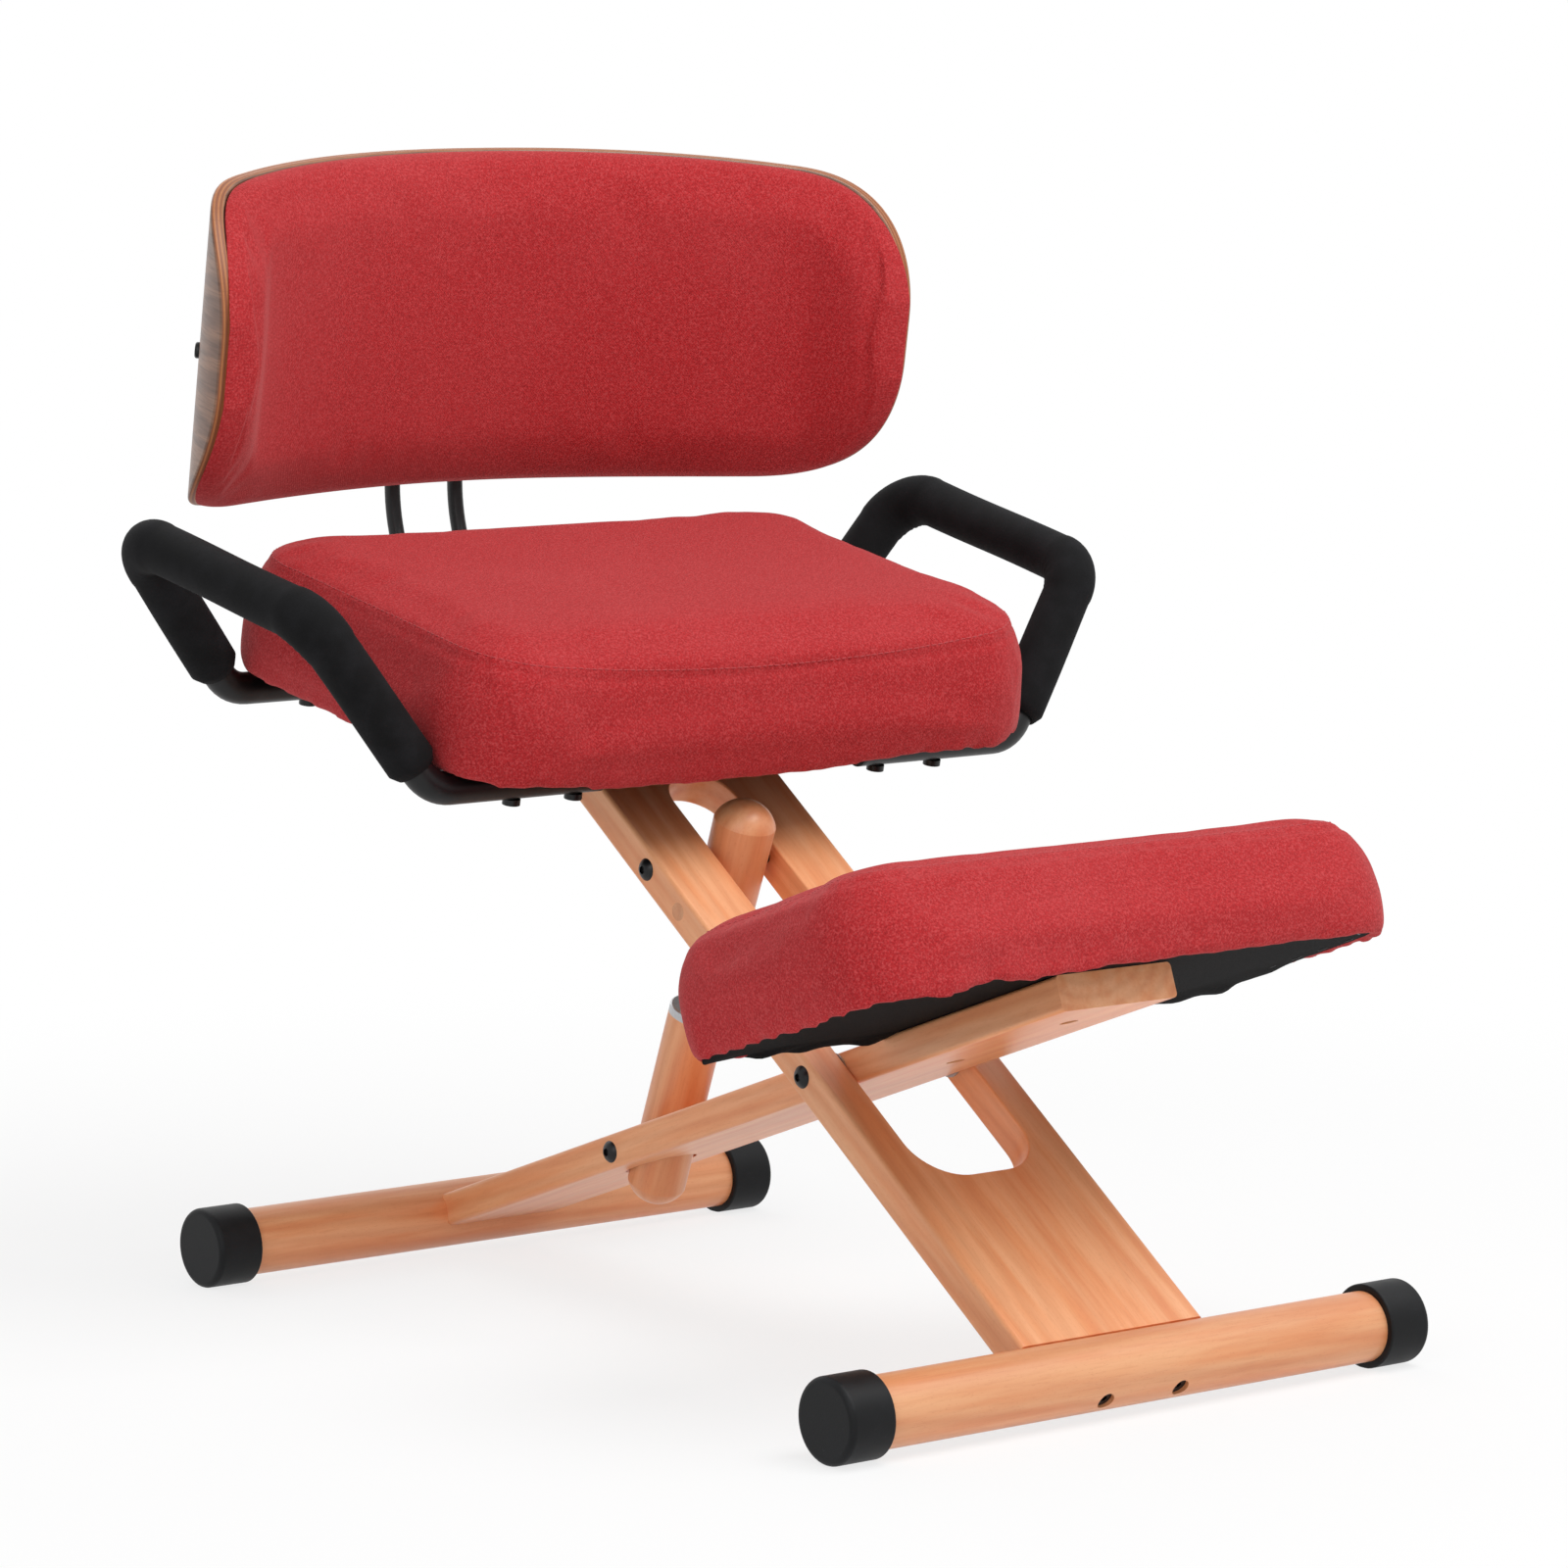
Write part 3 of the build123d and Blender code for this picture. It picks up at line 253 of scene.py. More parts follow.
def cap_rubber():
    rubber = Finish("cap_rubber")
    here = rubber.place()
    bloom = rubber.noise(here, 42.0, 4.0, 0.6)
    grain = rubber.noise(here, 900.0, 2.0, 0.6)
    scuffs = rubber.band(rubber.noise(rubber.place(0.0, (1, 1, 5)), 160.0, 3.0, 0.7), 0.62, 0.78)
    colour = rubber.mix(rubber.band(bloom, 0.35, 0.75), paint(9, 10, 12), paint(19, 20, 23))
    colour = rubber.mix(scuffs * 0.3, colour, paint(52, 52, 56))
    return rubber.surface(colour, 0.40 + bloom * 0.22, grain + bloom * 0.5, 0.0003, 0.30,
                          specular_ior_level=0.22)


def black_enamel(name, level, rough):
    """Black coating on metal with a fine orange-peel skin and a few rubbed spots."""
    enamel = Finish(name)
    here = enamel.place()
    peel = enamel.noise(here, 520.0, 2.0)
    rubbed = enamel.band(enamel.noise(here, 75.0, 3.0, 0.6), 0.58, 0.8)
    worn = level + 26
    colour = enamel.mix(rubbed * 0.5, paint(level, level, level + 2), paint(worn, worn, worn + 2))
    return enamel.surface(colour, rough + peel * 0.12, peel, 0.0002, 0.25, specular_ior_level=0.35)


def bright_steel():
    steel = Finish("bright_steel")
    lines = steel.noise(steel.place(POST_TURN, (60, 60, 900)), 9.0, 3.0, 0.6)
    smudge = steel.noise(steel.place(), 45.0, 3.0)
    colour = steel.mix(lines, paint(150, 150, 152), paint(204, 204, 206))
    return steel.surface(colour, 0.24 + smudge * 0.22, lines, 0.0001, 0.3, metallic=1.0)


def board_plywood():
    """Plain plywood of the boards inside the pads."""
    board = Finish("board_plywood")
    fibres = board.noise(board.place(0.0, (0.06, 1, 1)), 420.0, 3.0, 0.6)
    patches = board.noise(board.place(0.0, (0.3, 1, 1)), 26.0, 2.0)
    colour = board.mix(board.band(fibres, 0.3, 0.75), paint(214, 176, 128), paint(176, 130, 84))
    colour = board.mix(patches * 0.3, colour, paint(150, 104, 64))
    return board.surface(colour, 0.62 + fibres * 0.2, fibres, 0.0002, 0.3)


# Plan of the back rest: a gentle middle arc and a tighter arc at each wing
MIDDLE_RADIUS = 0.490
WING_RADIUS = 0.080
WING_START = radians(29.8)
WING_END = radians(89.5)
WING_VIEW = radians(78.0)
BACK_HEIGHT = 0.234
BACK_BOW = 0.017
BACK_CORNER = 0.097
SHELL_THICK = 0.009
PLY_LAYER = 0.0015
VENEER = (0.0006, 0.0011)
WING_X = (MIDDLE_RADIUS - WING_RADIUS) * sin(WING_START)
WING_Y = (MIDDLE_RADIUS - WING_RADIUS) * cos(WING_START) - MIDDLE_RADIUS


def shell_veneer():
    """Bent plywood: a brown veneer on both faces and the pale and dark layers along its edge."""
    ply = Finish("shell_veneer")
    here = ply.place(BACK_TURN, (1, 1, 1), BACK_PLACE)
    across = ply.along(here, 0).absolute()
    rearward = ply.along(here, 1)
    height = ply.along(here, 2)
    middle_depth = (across * across + (rearward + MIDDLE_RADIUS) ** 2.0).root() - MIDDLE_RADIUS
    wing_depth = ((across - WING_X) ** 2.0 + (rearward - WING_Y) ** 2.0).root() - WING_RADIUS
    past_start = across * cos(WING_START) - (rearward + MIDDLE_RADIUS) * sin(WING_START)
    on_wing = ply.band(past_start, -0.0004, 0.0004)
    depth = middle_depth * (1 - on_wing) + wing_depth * on_wing
    layer = (depth / PLY_LAYER).part()
    dark_layer = ply.band((depth / (2 * PLY_LAYER)).part(), 0.46, 0.54)
    glue = ply.band((layer - 0.5).absolute(), 0.40, 0.5)
    inside = ply.band(depth, *VENEER) * ply.band(SHELL_THICK - depth, *VENEER)
    wave = ply.noise(ply.place(BACK_TURN, (1.6, 1.6, 9), BACK_PLACE), 5.0, 2.0)
    figure = ((height * 44.0 + wave * 3.2).part() - 0.5).absolute() * 2.0
    fibres = ply.noise(ply.place(BACK_TURN, (0.06, 0.06, 1), BACK_PLACE), 700.0, 3.0, 0.65)
    veneer = ply.mix(ply.band(figure, 0.1, 1.0), paint(146, 104, 78), paint(112, 76, 56))
    veneer = ply.mix(ply.band(fibres, 0.42, 0.72) * 0.5, veneer, paint(74, 46, 32))
    core = ply.mix(dark_layer, paint(172, 106, 58), paint(134, 72, 34))
    core = ply.mix(glue * 0.5, core, paint(112, 58, 30))
    core = ply.mix(ply.band(fibres, 0.5, 0.8) * 0.35, core, paint(128, 72, 36))
    colour = ply.mix(inside, veneer, core)
    roughness = 0.34 + fibres * 0.16 + inside * 0.18
    return ply.surface(colour, roughness, fibres + layer * inside * 0.5, 0.00012, 0.35,
                       coat_weight=0.2, coat_roughness=0.3)


def dress(material, *names):
    """Gives a finish to solids that keep their shape."""
    for name in names:
        thing = nodes[name]
        if not thing.material_slots:
            thing.data.materials.append(material)
        for slot in thing.material_slots:
            slot.material = material


CLOTH = red_weave()
THREAD = red_thread()
DUST = dust_cloth()
FOAM = grip_foam()
SCREW_BLACK = black_enamel("screw_black", 12, 0.30)
# The last column scales each piece's beech colour; on the front bar its lower value is painted shade.
for node, name, turn, grain_axis, heart, tone_and_painted_shade in (
        ("frame_board", "beech_frame", FRAME_TURN, 1, (0.022, -0.075), 1.0),
        ("knee_arm", "beech_arm", ARM_TURN, 1, (-0.016, 0.048), 1.0),
        ("front_foot_bar", "beech_front_bar", 0.0, 0, (-0.19, -0.20), 0.93),
        ("rear_foot_bar", "beech_rear_bar", 0.0, 0, (0.42, -0.21), 1.01),
        ("adjuster_post", "beech_post", POST_TURN, 2, (0.02, 0.05), 0.97),
        ("adjuster_sleeve", "beech_sleeve", POST_TURN, 2, (-0.03, 0.10), 0.97),
        ("hole_plugs", "beech_plug", 0.0, 0, (0.20, 0.08), 0.9)):
    dress(beech(name, turn, grain_axis, heart, tone_and_painted_shade), node)
dress(shell_veneer(), "back_shell")
dress(board_plywood(), "seat_board", "knee_board")
dress(cap_rubber(), "front_foot_caps", "rear_foot_caps")
dress(black_enamel("tube_enamel", 12, 0.34), "handle_tube_right", "handle_tube_left", "back_rods")
dress(SCREW_BLACK, "pivot_bolt", "pivot_nut", "post_bolt", "post_nut", "arm_pin",
      "arm_pin_nut", "front_bar_bolts", "rear_bar_bolts", "handle_bolts", "strap_screws", "clamp_screws",
      "pad_screws", "knee_screws", "seat_screws")
dress(black_enamel("moulded_black", 15, 0.52), "handle_plugs", "rod_straps", "rod_clamps")
dress(bright_steel(), "adjuster_spindle", "adjuster_ferrule", "pivot_washers")


# Meshes
def stand(name, data):
    """A new object in the scene."""
    thing = bpy.data.objects.new(name, data)
    scene.collection.objects.link(thing)
    return thing


def new_piece(name, points, faces, material):
    mesh = bpy.data.meshes.new(name)
    mesh.from_pydata([tuple(p) for p in points], [], faces)
    mesh.materials.append(material)
    work = bmesh.new()
    work.from_mesh(mesh)
    bmesh.ops.remove_doubles(work, verts=work.verts, dist=1e-6)
    bmesh.ops.recalc_face_normals(work, faces=work.faces)
    work.to_mesh(mesh)
    work.free()
    return stand(name, mesh)


def settle(piece):
    """Turns a piece's live modifiers into its own plain mesh."""
    graph = bpy.context.evaluated_depsgraph_get()
    made = bpy.data.meshes.new_from_object(piece.evaluated_get(graph))
    made.name = piece.name
    old = piece.data
    piece.modifiers.clear()
    piece.data = made
    bpy.data.meshes.remove(old)
    return piece


def smooth(piece):
    piece.data.shade_smooth()
    return piece


def vectors(items, name):
    """One vector from each item of a mesh."""
    flat = np.zeros(len(items) * 3, np.float32)
    items.foreach_get(name, flat)
    return flat.reshape(-1, 3).astype(float)


def points_of(piece):
    return vectors(piece.data.vertices, "co")


def move_points(piece, points):
    piece.data.vertices.foreach_set("co", np.asarray(points, np.float32).ravel())
    piece.data.update()


class Bench:
    """A piece's own frame: X across, Y to its rear, Z out of its face."""

    def __init__(self, place, turn):
        self.place = np.array(place)
        self.axes = np.array([[1, 0, 0], [0, cos(turn), sin(turn)], [0, -sin(turn), cos(turn)]])

    def out(self, local):
        return np.asarray(local, float) @ self.axes + self.place

    def into(self, world):
        return (np.asarray(world, float) - self.place) @ self.axes.T


SEAT = Bench(SEAT_PLACE, SEAT_TURN)
KNEE = Bench(KNEE_PLACE, ARM_TURN)
BACK = Bench(BACK_PLACE, BACK_TURN)


def round_outline(width, depth, corner, count):
    """Evenly spaced points round a rectangle with round corners."""
    half_w, half_d = width / 2 - corner, depth / 2 - corner
    quarter = pi * corner / 2
    runs = [2 * half_d, quarter, 2 * half_w, quarter] * 2
    starts = np.concatenate([[0], np.cumsum(runs)])
    outline = []
    for step in range(count):
        at = starts[-1] * step / count
        leg = int(np.searchsorted(starts, at, side="right") - 1)
        share = (at - starts[leg]) / max(runs[leg], 1e-9)
        side = leg // 2
        turn = side * pi / 2
        reach, slide = (half_w, half_d) if side % 2 == 0 else (half_d, half_w)
        if leg % 2 == 0:
            x, y = reach + corner, slide * (2 * share - 1)
        else:
            x, y = reach + corner * cos(share * pi / 2), slide + corner * sin(share * pi / 2)
        outline.append((x * cos(turn) - y * sin(turn), x * sin(turn) + y * cos(turn)))
    return np.array(outline)


SWELL_STEPS = 20
SWELL = {"quality": 3, "use_pressure": True, "uniform_pressure_force": 4.0, "vertex_group_mass": "held",
         "tension_stiffness": 14.0, "compression_stiffness": 14.0, "bending_stiffness": 0.6}


def inflate(piece, held, voxel, cap):
    """Blows a pad up as cloth with its held points fixed, and limits how far it swells; a voxel size
    first gives it an even mesh."""
    if voxel:
        remesh = piece.modifiers.new("even", "REMESH")
        remesh.mode = "VOXEL"
        remesh.voxel_size = voxel
        settle(piece)
    before = points_of(piece)
    group = piece.vertex_groups.new(name="held")
    group.add([int(i) for i in np.nonzero(held(before))[0]], 1.0, "REPLACE")
    cloth = piece.modifiers.new("swell", "CLOTH")
    for name, value in SWELL.items():
        setattr(cloth.settings, name, value)
    cloth.settings.effector_weights.gravity = 0.0
    cloth.collision_settings.use_collision = False
    cloth.point_cache.frame_start = 1
    cloth.point_cache.frame_end = SWELL_STEPS
    for step in range(1, SWELL_STEPS + 1):
        scene.frame_set(step)
    settle(piece)
    scene.frame_set(1)
    after = points_of(piece)
    travel = after - before
    length = np.linalg.norm(travel, axis=1, keepdims=True)
    move_points(piece, before + travel * np.minimum(1.0, cap / np.maximum(length, 1e-9)))
    piece.vertex_groups.clear()
    relax = piece.modifiers.new("relax", "SMOOTH")
    relax.factor = 0.5
    relax.iterations = 4 if voxel else 5
    finer = piece.modifiers.new("finer", "SUBSURF")
    finer.levels = finer.render_levels = 1
    return settle(piece)


def near_path(points, path):
    """Distance from each point to the nearest of a path's points, and that point's number."""
    best = np.full(len(points), 1e9)
    which = np.zeros(len(points), int)
    batch = 4000
    for start in range(0, len(points), batch):
        part = slice(start, start + batch)
        gaps = np.linalg.norm(points[part, None, :] - path[None, :, :], axis=2)
        which[part] = gaps.argmin(1)
        best[part] = gaps.min(1)
    return best, which


def weave_map(piece, spots):
    """Gives a pad its thread directions as a UV map in metres; spots holds one pair for each corner."""
    layer = piece.data.uv_layers.new(name="weave")
    layer.data.foreach_set("uv", np.asarray(spots, np.float32).ravel())


def corner_points(piece):
    index = np.zeros(len(piece.data.loops), np.int32)
    piece.data.loops.foreach_get("vertex_index", index)
    return index


def corner_normals(piece):
    """The normal of the face that each corner belongs to."""
    totals = np.zeros(len(piece.data.polygons), np.int32)
    piece.data.polygons.foreach_get("loop_total", totals)
    return np.repeat(vectors(piece.data.polygons, "normal"), totals, axis=0)


# Rows of threads and staples along a line
def row_tree():
    """Arched short bars laid end to end along a line, standing off the surface that carries it."""
    tree = bpy.data.node_groups.new("row_along_line", "GeometryNodeTree")
    face = tree.interface
    face.new_socket("Line", in_out="INPUT", socket_type="NodeSocketGeometry")
    for name in ("Pitch", "Length", "Thickness", "Arch"):
        face.new_socket(name, in_out="INPUT", socket_type="NodeSocketFloat")
    face.new_socket("Finish", in_out="INPUT", socket_type="NodeSocketMaterial")
    face.new_socket("Row", in_out="OUTPUT", socket_type="NodeSocketGeometry")
    graph = Graph(tree)
    given = graph.add("NodeGroupInput", {}, {}, None)
    sizes = {socket.name: Socket(graph, socket) for socket in given.outputs if socket.name}
    line = graph.add("GeometryNodeMeshToCurve", {}, {"Mesh": sizes["Line"]})
    spots = graph.add("GeometryNodeCurveToPoints", {"mode": "LENGTH"}, {
        "Curve": line, "Length": sizes["Pitch"]}, None)
    lift = graph.add("GeometryNodeInputNamedAttribute", {"data_type": "FLOAT_VECTOR"}, {"Name": "lift"})
    turn = graph.add("FunctionNodeAlignRotationToVector", {"axis": "X"}, {
        "Vector": Socket(graph, spots.outputs["Tangent"])})
    turn = graph.add("FunctionNodeAlignRotationToVector", {"axis": "Z", "pivot_axis": "X"}, {
        "Rotation": turn, "Vector": lift})
    half = sizes["Length"] * 0.5
    low = sizes["Thickness"] * -0.4
    start = graph.add("ShaderNodeCombineXYZ", {}, {"X": half * -1.0, "Z": low})
    middle = graph.add("ShaderNodeCombineXYZ", {}, {"Z": sizes["Arch"]})
    end = graph.add("ShaderNodeCombineXYZ", {}, {"X": half, "Z": low})
    arch = graph.add("GeometryNodeCurveQuadraticBezier", {}, {
        "Resolution": 4, "Start": start, "Middle": middle, "End": end})
    ring = graph.add("GeometryNodeCurvePrimitiveCircle", {}, {
        "Resolution": 6, "Radius": sizes["Thickness"] * 0.5})
    bar = graph.add("GeometryNodeCurveToMesh", {}, {"Curve": arch, "Profile Curve": ring, "Fill Caps": True})
    many = graph.add("GeometryNodeInstanceOnPoints", {}, {
        "Points": Socket(graph, spots.outputs["Points"]), "Instance": bar, "Rotation": turn})
    real = graph.add("GeometryNodeRealizeInstances", {}, {"Geometry": many})
    soft = graph.add("GeometryNodeSetShadeSmooth", {}, {"Geometry": real})
    done = graph.add("GeometryNodeSetMaterial", {}, {"Geometry": soft, "Material": sizes["Finish"]})
    graph.add("NodeGroupOutput", {}, {"Row": done}, None)
    return tree


ROW = row_tree()


def lay_row(name, lines, pitch, length, thickness, arch, finish):
    """Rows along closed or open lines, each given as points, their lifts and whether it closes."""
    points, lifts, edges = [], [], []
    for path, lift, closed in lines:
        first = len(points)
        points.extend(tuple(p) for p in path)
        lifts.extend(lift)
        edges.extend((first + i, first + i + 1) for i in range(len(path) - 1))
        if closed:
            edges.append((first + len(path) - 1, first))
    mesh = bpy.data.meshes.new(name)
    mesh.from_pydata(points, edges, [])
    attribute = mesh.attributes.new("lift", "FLOAT_VECTOR", "POINT")
    attribute.data.foreach_set("vector", np.asarray(lifts, np.float32).ravel())
    piece = stand(name, mesh)
    row = piece.modifiers.new("row", "NODES")
    row.node_group = ROW
    values = {"Pitch": pitch, "Length": length, "Thickness": thickness, "Arch": arch, "Finish": finish}
    for socket in ROW.interface.items_tree:
        if socket.in_out == "INPUT" and socket.name in values:
            row[socket.identifier] = values[socket.name]
    return settle(piece)


# Boxed cushions of the seat and the knees
OUTLINE_POINTS = 720
RING_POINTS = 168
HEM_BLEND = 0.045
HELD_RISE = 0.014
CUSHION_VOXEL = 0.0055
LIP_RINGS = ((0.0105, 0.8), (0.0070, 1.0))
PANEL_STEPS = (0.0008, 0.0025, 0.005, 0.008, 0.012, 0.017, 0.023, 0.030, 0.038, 0.048, 0.060, 0.074, 0.090)
GROOVE_DEPTH = 0.0013
GROOVE_ROLL = 0.0004
STITCH = (0.0052, 0.0040, 0.0009, 0.0006)
STAPLE = (0.026, 0.010, 0.0008, 0.0002)


def ripple(along, *waves):
    """Uneven wave along a line, from lengths in metres, sizes and starts."""
    total = np.zeros_like(along)
    for length, size, start in waves:
        total = total + size * np.sin(2 * pi * along / length + start)
    return total


def rounded(share):
    """A quarter circle's rise, from 0 to 1."""
    return np.sqrt(1 - (1 - np.clip(share, 0, 1)) ** 2)


def hump(value, middle, width):
    """A smooth rise to 1 at a middle value."""
    return np.exp(-((value - middle) / width) ** 2)


def hem_drop(spots, droops):
    """How far the cover hangs below its base near each spot, blended from points round the hem."""
    table = np.array(droops)
    gaps = ((spots[:, None, :] - table[None, :, :2]) ** 2).sum(2)
    weights = np.exp(-gaps / (2 * HEM_BLEND**2)) + 1e-12
    return (weights * table[None, :, 2]).sum(1) / weights.sum(1)


class Cover:
    """Measures of one sewn cushion, in its bench's frame."""

    def __init__(self, bench, size, base, seam, dip, top, rolls, pulls, pocket, slide, ragged, droops):
        self.bench = bench
        self.width, self.depth, self.corner = size
        self.base, self.seam, self.dip, self.top = base, seam, dip, top
        self.right_roll, self.left_roll, self.front_roll, self.rear_roll = rolls
        self.slide, self.ragged = slide, ragged
        self.foot_pull, self.seam_pull = pulls
        self.board_inset, self.board_height = pocket
        self.droops = droops
        self.outline = round_outline(*size, OUTLINE_POINTS)
        self.girth = np.linalg.norm(np.roll(self.outline, -1, 0) - self.outline, axis=1).sum()

    def loop(self, inset, count):
        shrunk = max(self.corner - 0.7 * inset, 0.012)
        return round_outline(self.width - 2 * inset, self.depth - 2 * inset, shrunk, count)

    def crown(self, spots, inset):
        """Height of the top panel: it rolls up from its seam, sooner at the sides than at the front."""
        right = rounded((self.width / 2 + spots[:, 0]) / self.right_roll)
        left = rounded((self.width / 2 - spots[:, 0]) / self.left_roll)
        front = rounded((spots[:, 1] + self.depth / 2) / self.front_roll)
        rear = rounded((self.depth / 2 - spots[:, 1]) / self.rear_roll)
        start = min(inset / 0.004, 1.0)
        seam = self.seam_height(spots)
        return seam + (self.top - seam) * right * left * front * rear * start

    def seam_height(self, spots):
        """The seam dips towards the middle of the front."""
        middle = np.clip(1 - (spots[:, 0] / (self.width / 2)) ** 2, 0, 1)
        return self.seam - self.dip * middle * np.clip(-spots[:, 1] / (self.depth / 2), 0, 1)

    def around(self, spots):
        """Distance round the cushion of each spot."""
        _, which = near_path(spots, self.outline)
        return which / OUTLINE_POINTS * self.girth


def boxed_cushion(name, node, cover, cap):
    """Foam block in a sewn cover: boxed sides whose hem hangs a little, a top panel that crowns from its
    seam, and a recess underneath for the board."""
    count = RING_POINTS
    rings = []

    def ring(inset, heights, slide=cover.slide):
        loop = cover.loop(inset, count) + (slide, 0)
        rings.append(np.column_stack([loop, np.broadcast_to(heights, count)]))

    ring(cover.board_inset, cover.base + cover.board_height, 0.0)
    ring(cover.board_inset, cover.base + 0.0008, 0.0)
    hang = hem_drop(cover.loop(0.0, count), cover.droops)
    for inset, share in LIP_RINGS:
        ring(inset, cover.base - share * hang)
    wall = cover.seam_height(cover.loop(0.0, count)) - cover.base
    for rise in np.linspace(0.03, 1.0, 9):
        pull = cover.foot_pull if rise < 0.5 else cover.seam_pull
        ring(pull * (2 * rise - 1) ** 2, cover.base + wall * rise - hang * (1 - rise) ** 1.3)
    for step in PANEL_STEPS:
        inset = cover.seam_pull + step
        ring(inset, cover.crown(cover.loop(inset, count), step))
    points = np.concatenate(rings)
    faces = [list(range(count)), [len(points) - count + i for i in range(count)]]
    for level in range(len(rings) - 1):
        for i in range(count):
            a, b = level * count + i, level * count + (i + 1) % count
            faces.append([a, b, b + count, a + count])
    bench = cover.bench
    piece = new_piece(name, bench.out(points), faces, CLOTH)
    low = cover.base + HELD_RISE
    inflate(piece, lambda world: bench.into(world)[:, 2] < low, CUSHION_VOXEL, cap)
    sew_top_panel(piece, cover)
    index = corner_points(piece)
    local = bench.into(points_of(piece))
    facing = corner_normals(piece) @ bench.axes.T
    side_spots = np.column_stack([cover.around(local[:, :2]), local[:, 2]])
    weave_map(piece, np.where(np.abs(facing[:, 2:3]) > 0.55, local[index][:, :2], side_spots[index]))
    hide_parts(node)
    return smooth(piece)


def sew_top_panel(piece, cover):
    """Draws the cover in along the seam under the top panel and gathers its lower hem."""
    bench = cover.bench
    local = bench.into(points_of(piece))
    facing = vectors(piece.data.vertex_normals, "vector") @ bench.axes.T
    gap, _ = near_path(local[:, :2], cover.outline)
    around = cover.around(local[:, :2])
    off = local[:, 2] - cover.seam_height(local) - ripple(around, (0.31, 0.0008, 0.4), (0.13, 0.0005, 2.0))
    on_side = (facing[:, 2] > -0.5) * (gap < 0.026)
    rolls = hump(off, 0.006, 0.004) + hump(off, -0.006, 0.005)
    groove = GROOVE_ROLL * rolls - GROOVE_DEPTH * hump(off, 0.0, 0.0022)
    pucker = ripple(around, (0.017, 0.0003, 0.3), (0.0231, 0.0003, 1.7)) * hump(off, 0.0, 0.007)
    hem = np.exp(-np.maximum(local[:, 2] - cover.base, 0) / 0.009)
    hem = hem * (0.3 + 0.7 * hump(local[:, 0], cover.ragged, 0.07))
    gather = ripple(around, (0.041, 0.0010, 0.9), (0.067, 0.0009, 2.6), (0.023, 0.0005, 0.2)) * hem
    drawn = np.clip(0.45 - 0.7 * local[:, 1] / cover.depth, 0.3, 0.8)
    push = (groove + pucker) * on_side * drawn + gather * (np.abs(facing[:, 2]) < 0.8)
    local = local + facing * push[:, None]
    outer = (gap < 0.011) * (local[:, 2] < cover.base + 0.012)
    wave = ripple(around, (0.052, 0.0010, 0.5), (0.081, 0.0009, 1.1), (0.019, 0.0006, 0.3))
    local[:, 2] += wave * hem * outer
    move_points(piece, bench.out(local))


def wrap_line(piece, cover, above, count):
    """Points and lifts of a line round a pad a little above its seam, found on the finished cover."""
    mesh = piece.data
    tree = BVHTree.FromPolygons([v.co for v in mesh.vertices], [p.vertices for p in mesh.polygons])
    away = 1.3
    outline = round_outline(cover.width * away, cover.depth * away, cover.corner * away, count)
    path, lifts = [], []
    for (x, y), height in zip(outline, cover.seam_height(outline / away) + above):
        start = cover.bench.out([x, y, height])
        aim = cover.bench.out([x * 0.4, y * 0.4, height])
        spot, normal, _, _ = tree.ray_cast(Vector(start), Vector(aim - start))
        if spot is not None:
            path.append(np.array(spot))
            lifts.append(np.array(normal))
    return path, lifts


SEAT_COVER = Cover(
    SEAT, size=(0.484, 0.330, 0.062), base=0.0, seam=0.0755, dip=0.0140, top=0.0890,
    rolls=(0.044, 0.036, 0.085, 0.060), pulls=(0.003, 0.008), pocket=(0.0152, 0.0124), slide=-0.001,
    ragged=0.19, droops=[
        (-0.241, 0.0, 0.0), (-0.241, 0.12, 0.0), (-0.21, -0.16, 0.002), (-0.15, -0.165, 0.007),
        (-0.09, -0.165, 0.011), (-0.02, -0.165, 0.010), (0.04, -0.165, 0.0085), (0.12, -0.165, 0.004),
        (0.21, -0.16, 0.003), (0.241, -0.06, 0.002), (0.241, 0.1, 0.0), (0.0, 0.165, 0.0), (0.15, 0.165, 0.0),
        (-0.15, 0.165, 0.0)])
KNEE_COVER = Cover(
    KNEE, size=(0.452, 0.222, 0.046), base=0.0125, seam=0.0815, dip=0.0, top=0.0905,
    rolls=(0.125, 0.050, 0.060, 0.060), pulls=(0.004, 0.011), pocket=(0.0132, 0.0104), slide=0.004,
    ragged=-0.12, droops=[
        (-0.22, 0.10, 0.005), (-0.225, 0.04, 0.009), (-0.225, -0.04, 0.011), (-0.20, -0.105, 0.012),
        (-0.11, -0.111, 0.008), (0.0, -0.111, 0.006), (0.11, -0.111, 0.0045), (0.18, -0.111, 0.004),
        (0.22, -0.09, 0.006), (0.225, 0.0, 0.002), (0.2, 0.105, -0.001), (0.07, 0.111, -0.001),
        (-0.08, 0.111, -0.001)])
seat = boxed_cushion("seat_cushion_cover", "seat_cushion", SEAT_COVER, 0.0045)
knee = boxed_cushion("knee_cushion_cover", "knee_cushion", KNEE_COVER, 0.0040)
for pad, body in ((seat, "seat_frame"), (knee, "knee_arm_body")):
    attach(pad, body)
for name, pad, cover, above, count, body in (
        ("seat_stitches", seat, SEAT_COVER, 0.0050, 420, "seat_frame"),
        ("knee_stitches", knee, KNEE_COVER, 0.0045, 360, "knee_arm_body")):
    row = lay_row(name, [(*wrap_line(pad, cover, above, count), True)], *STITCH, THREAD)
    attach(row, body)


# Dust covers under the seat and the knee pad
SEAT_SHEET = (0.456, 0.304)
KNEE_SHEET = (0.431, 0.207)
SHEET_THICK = 0.0005
SHEET_POINTS = 240


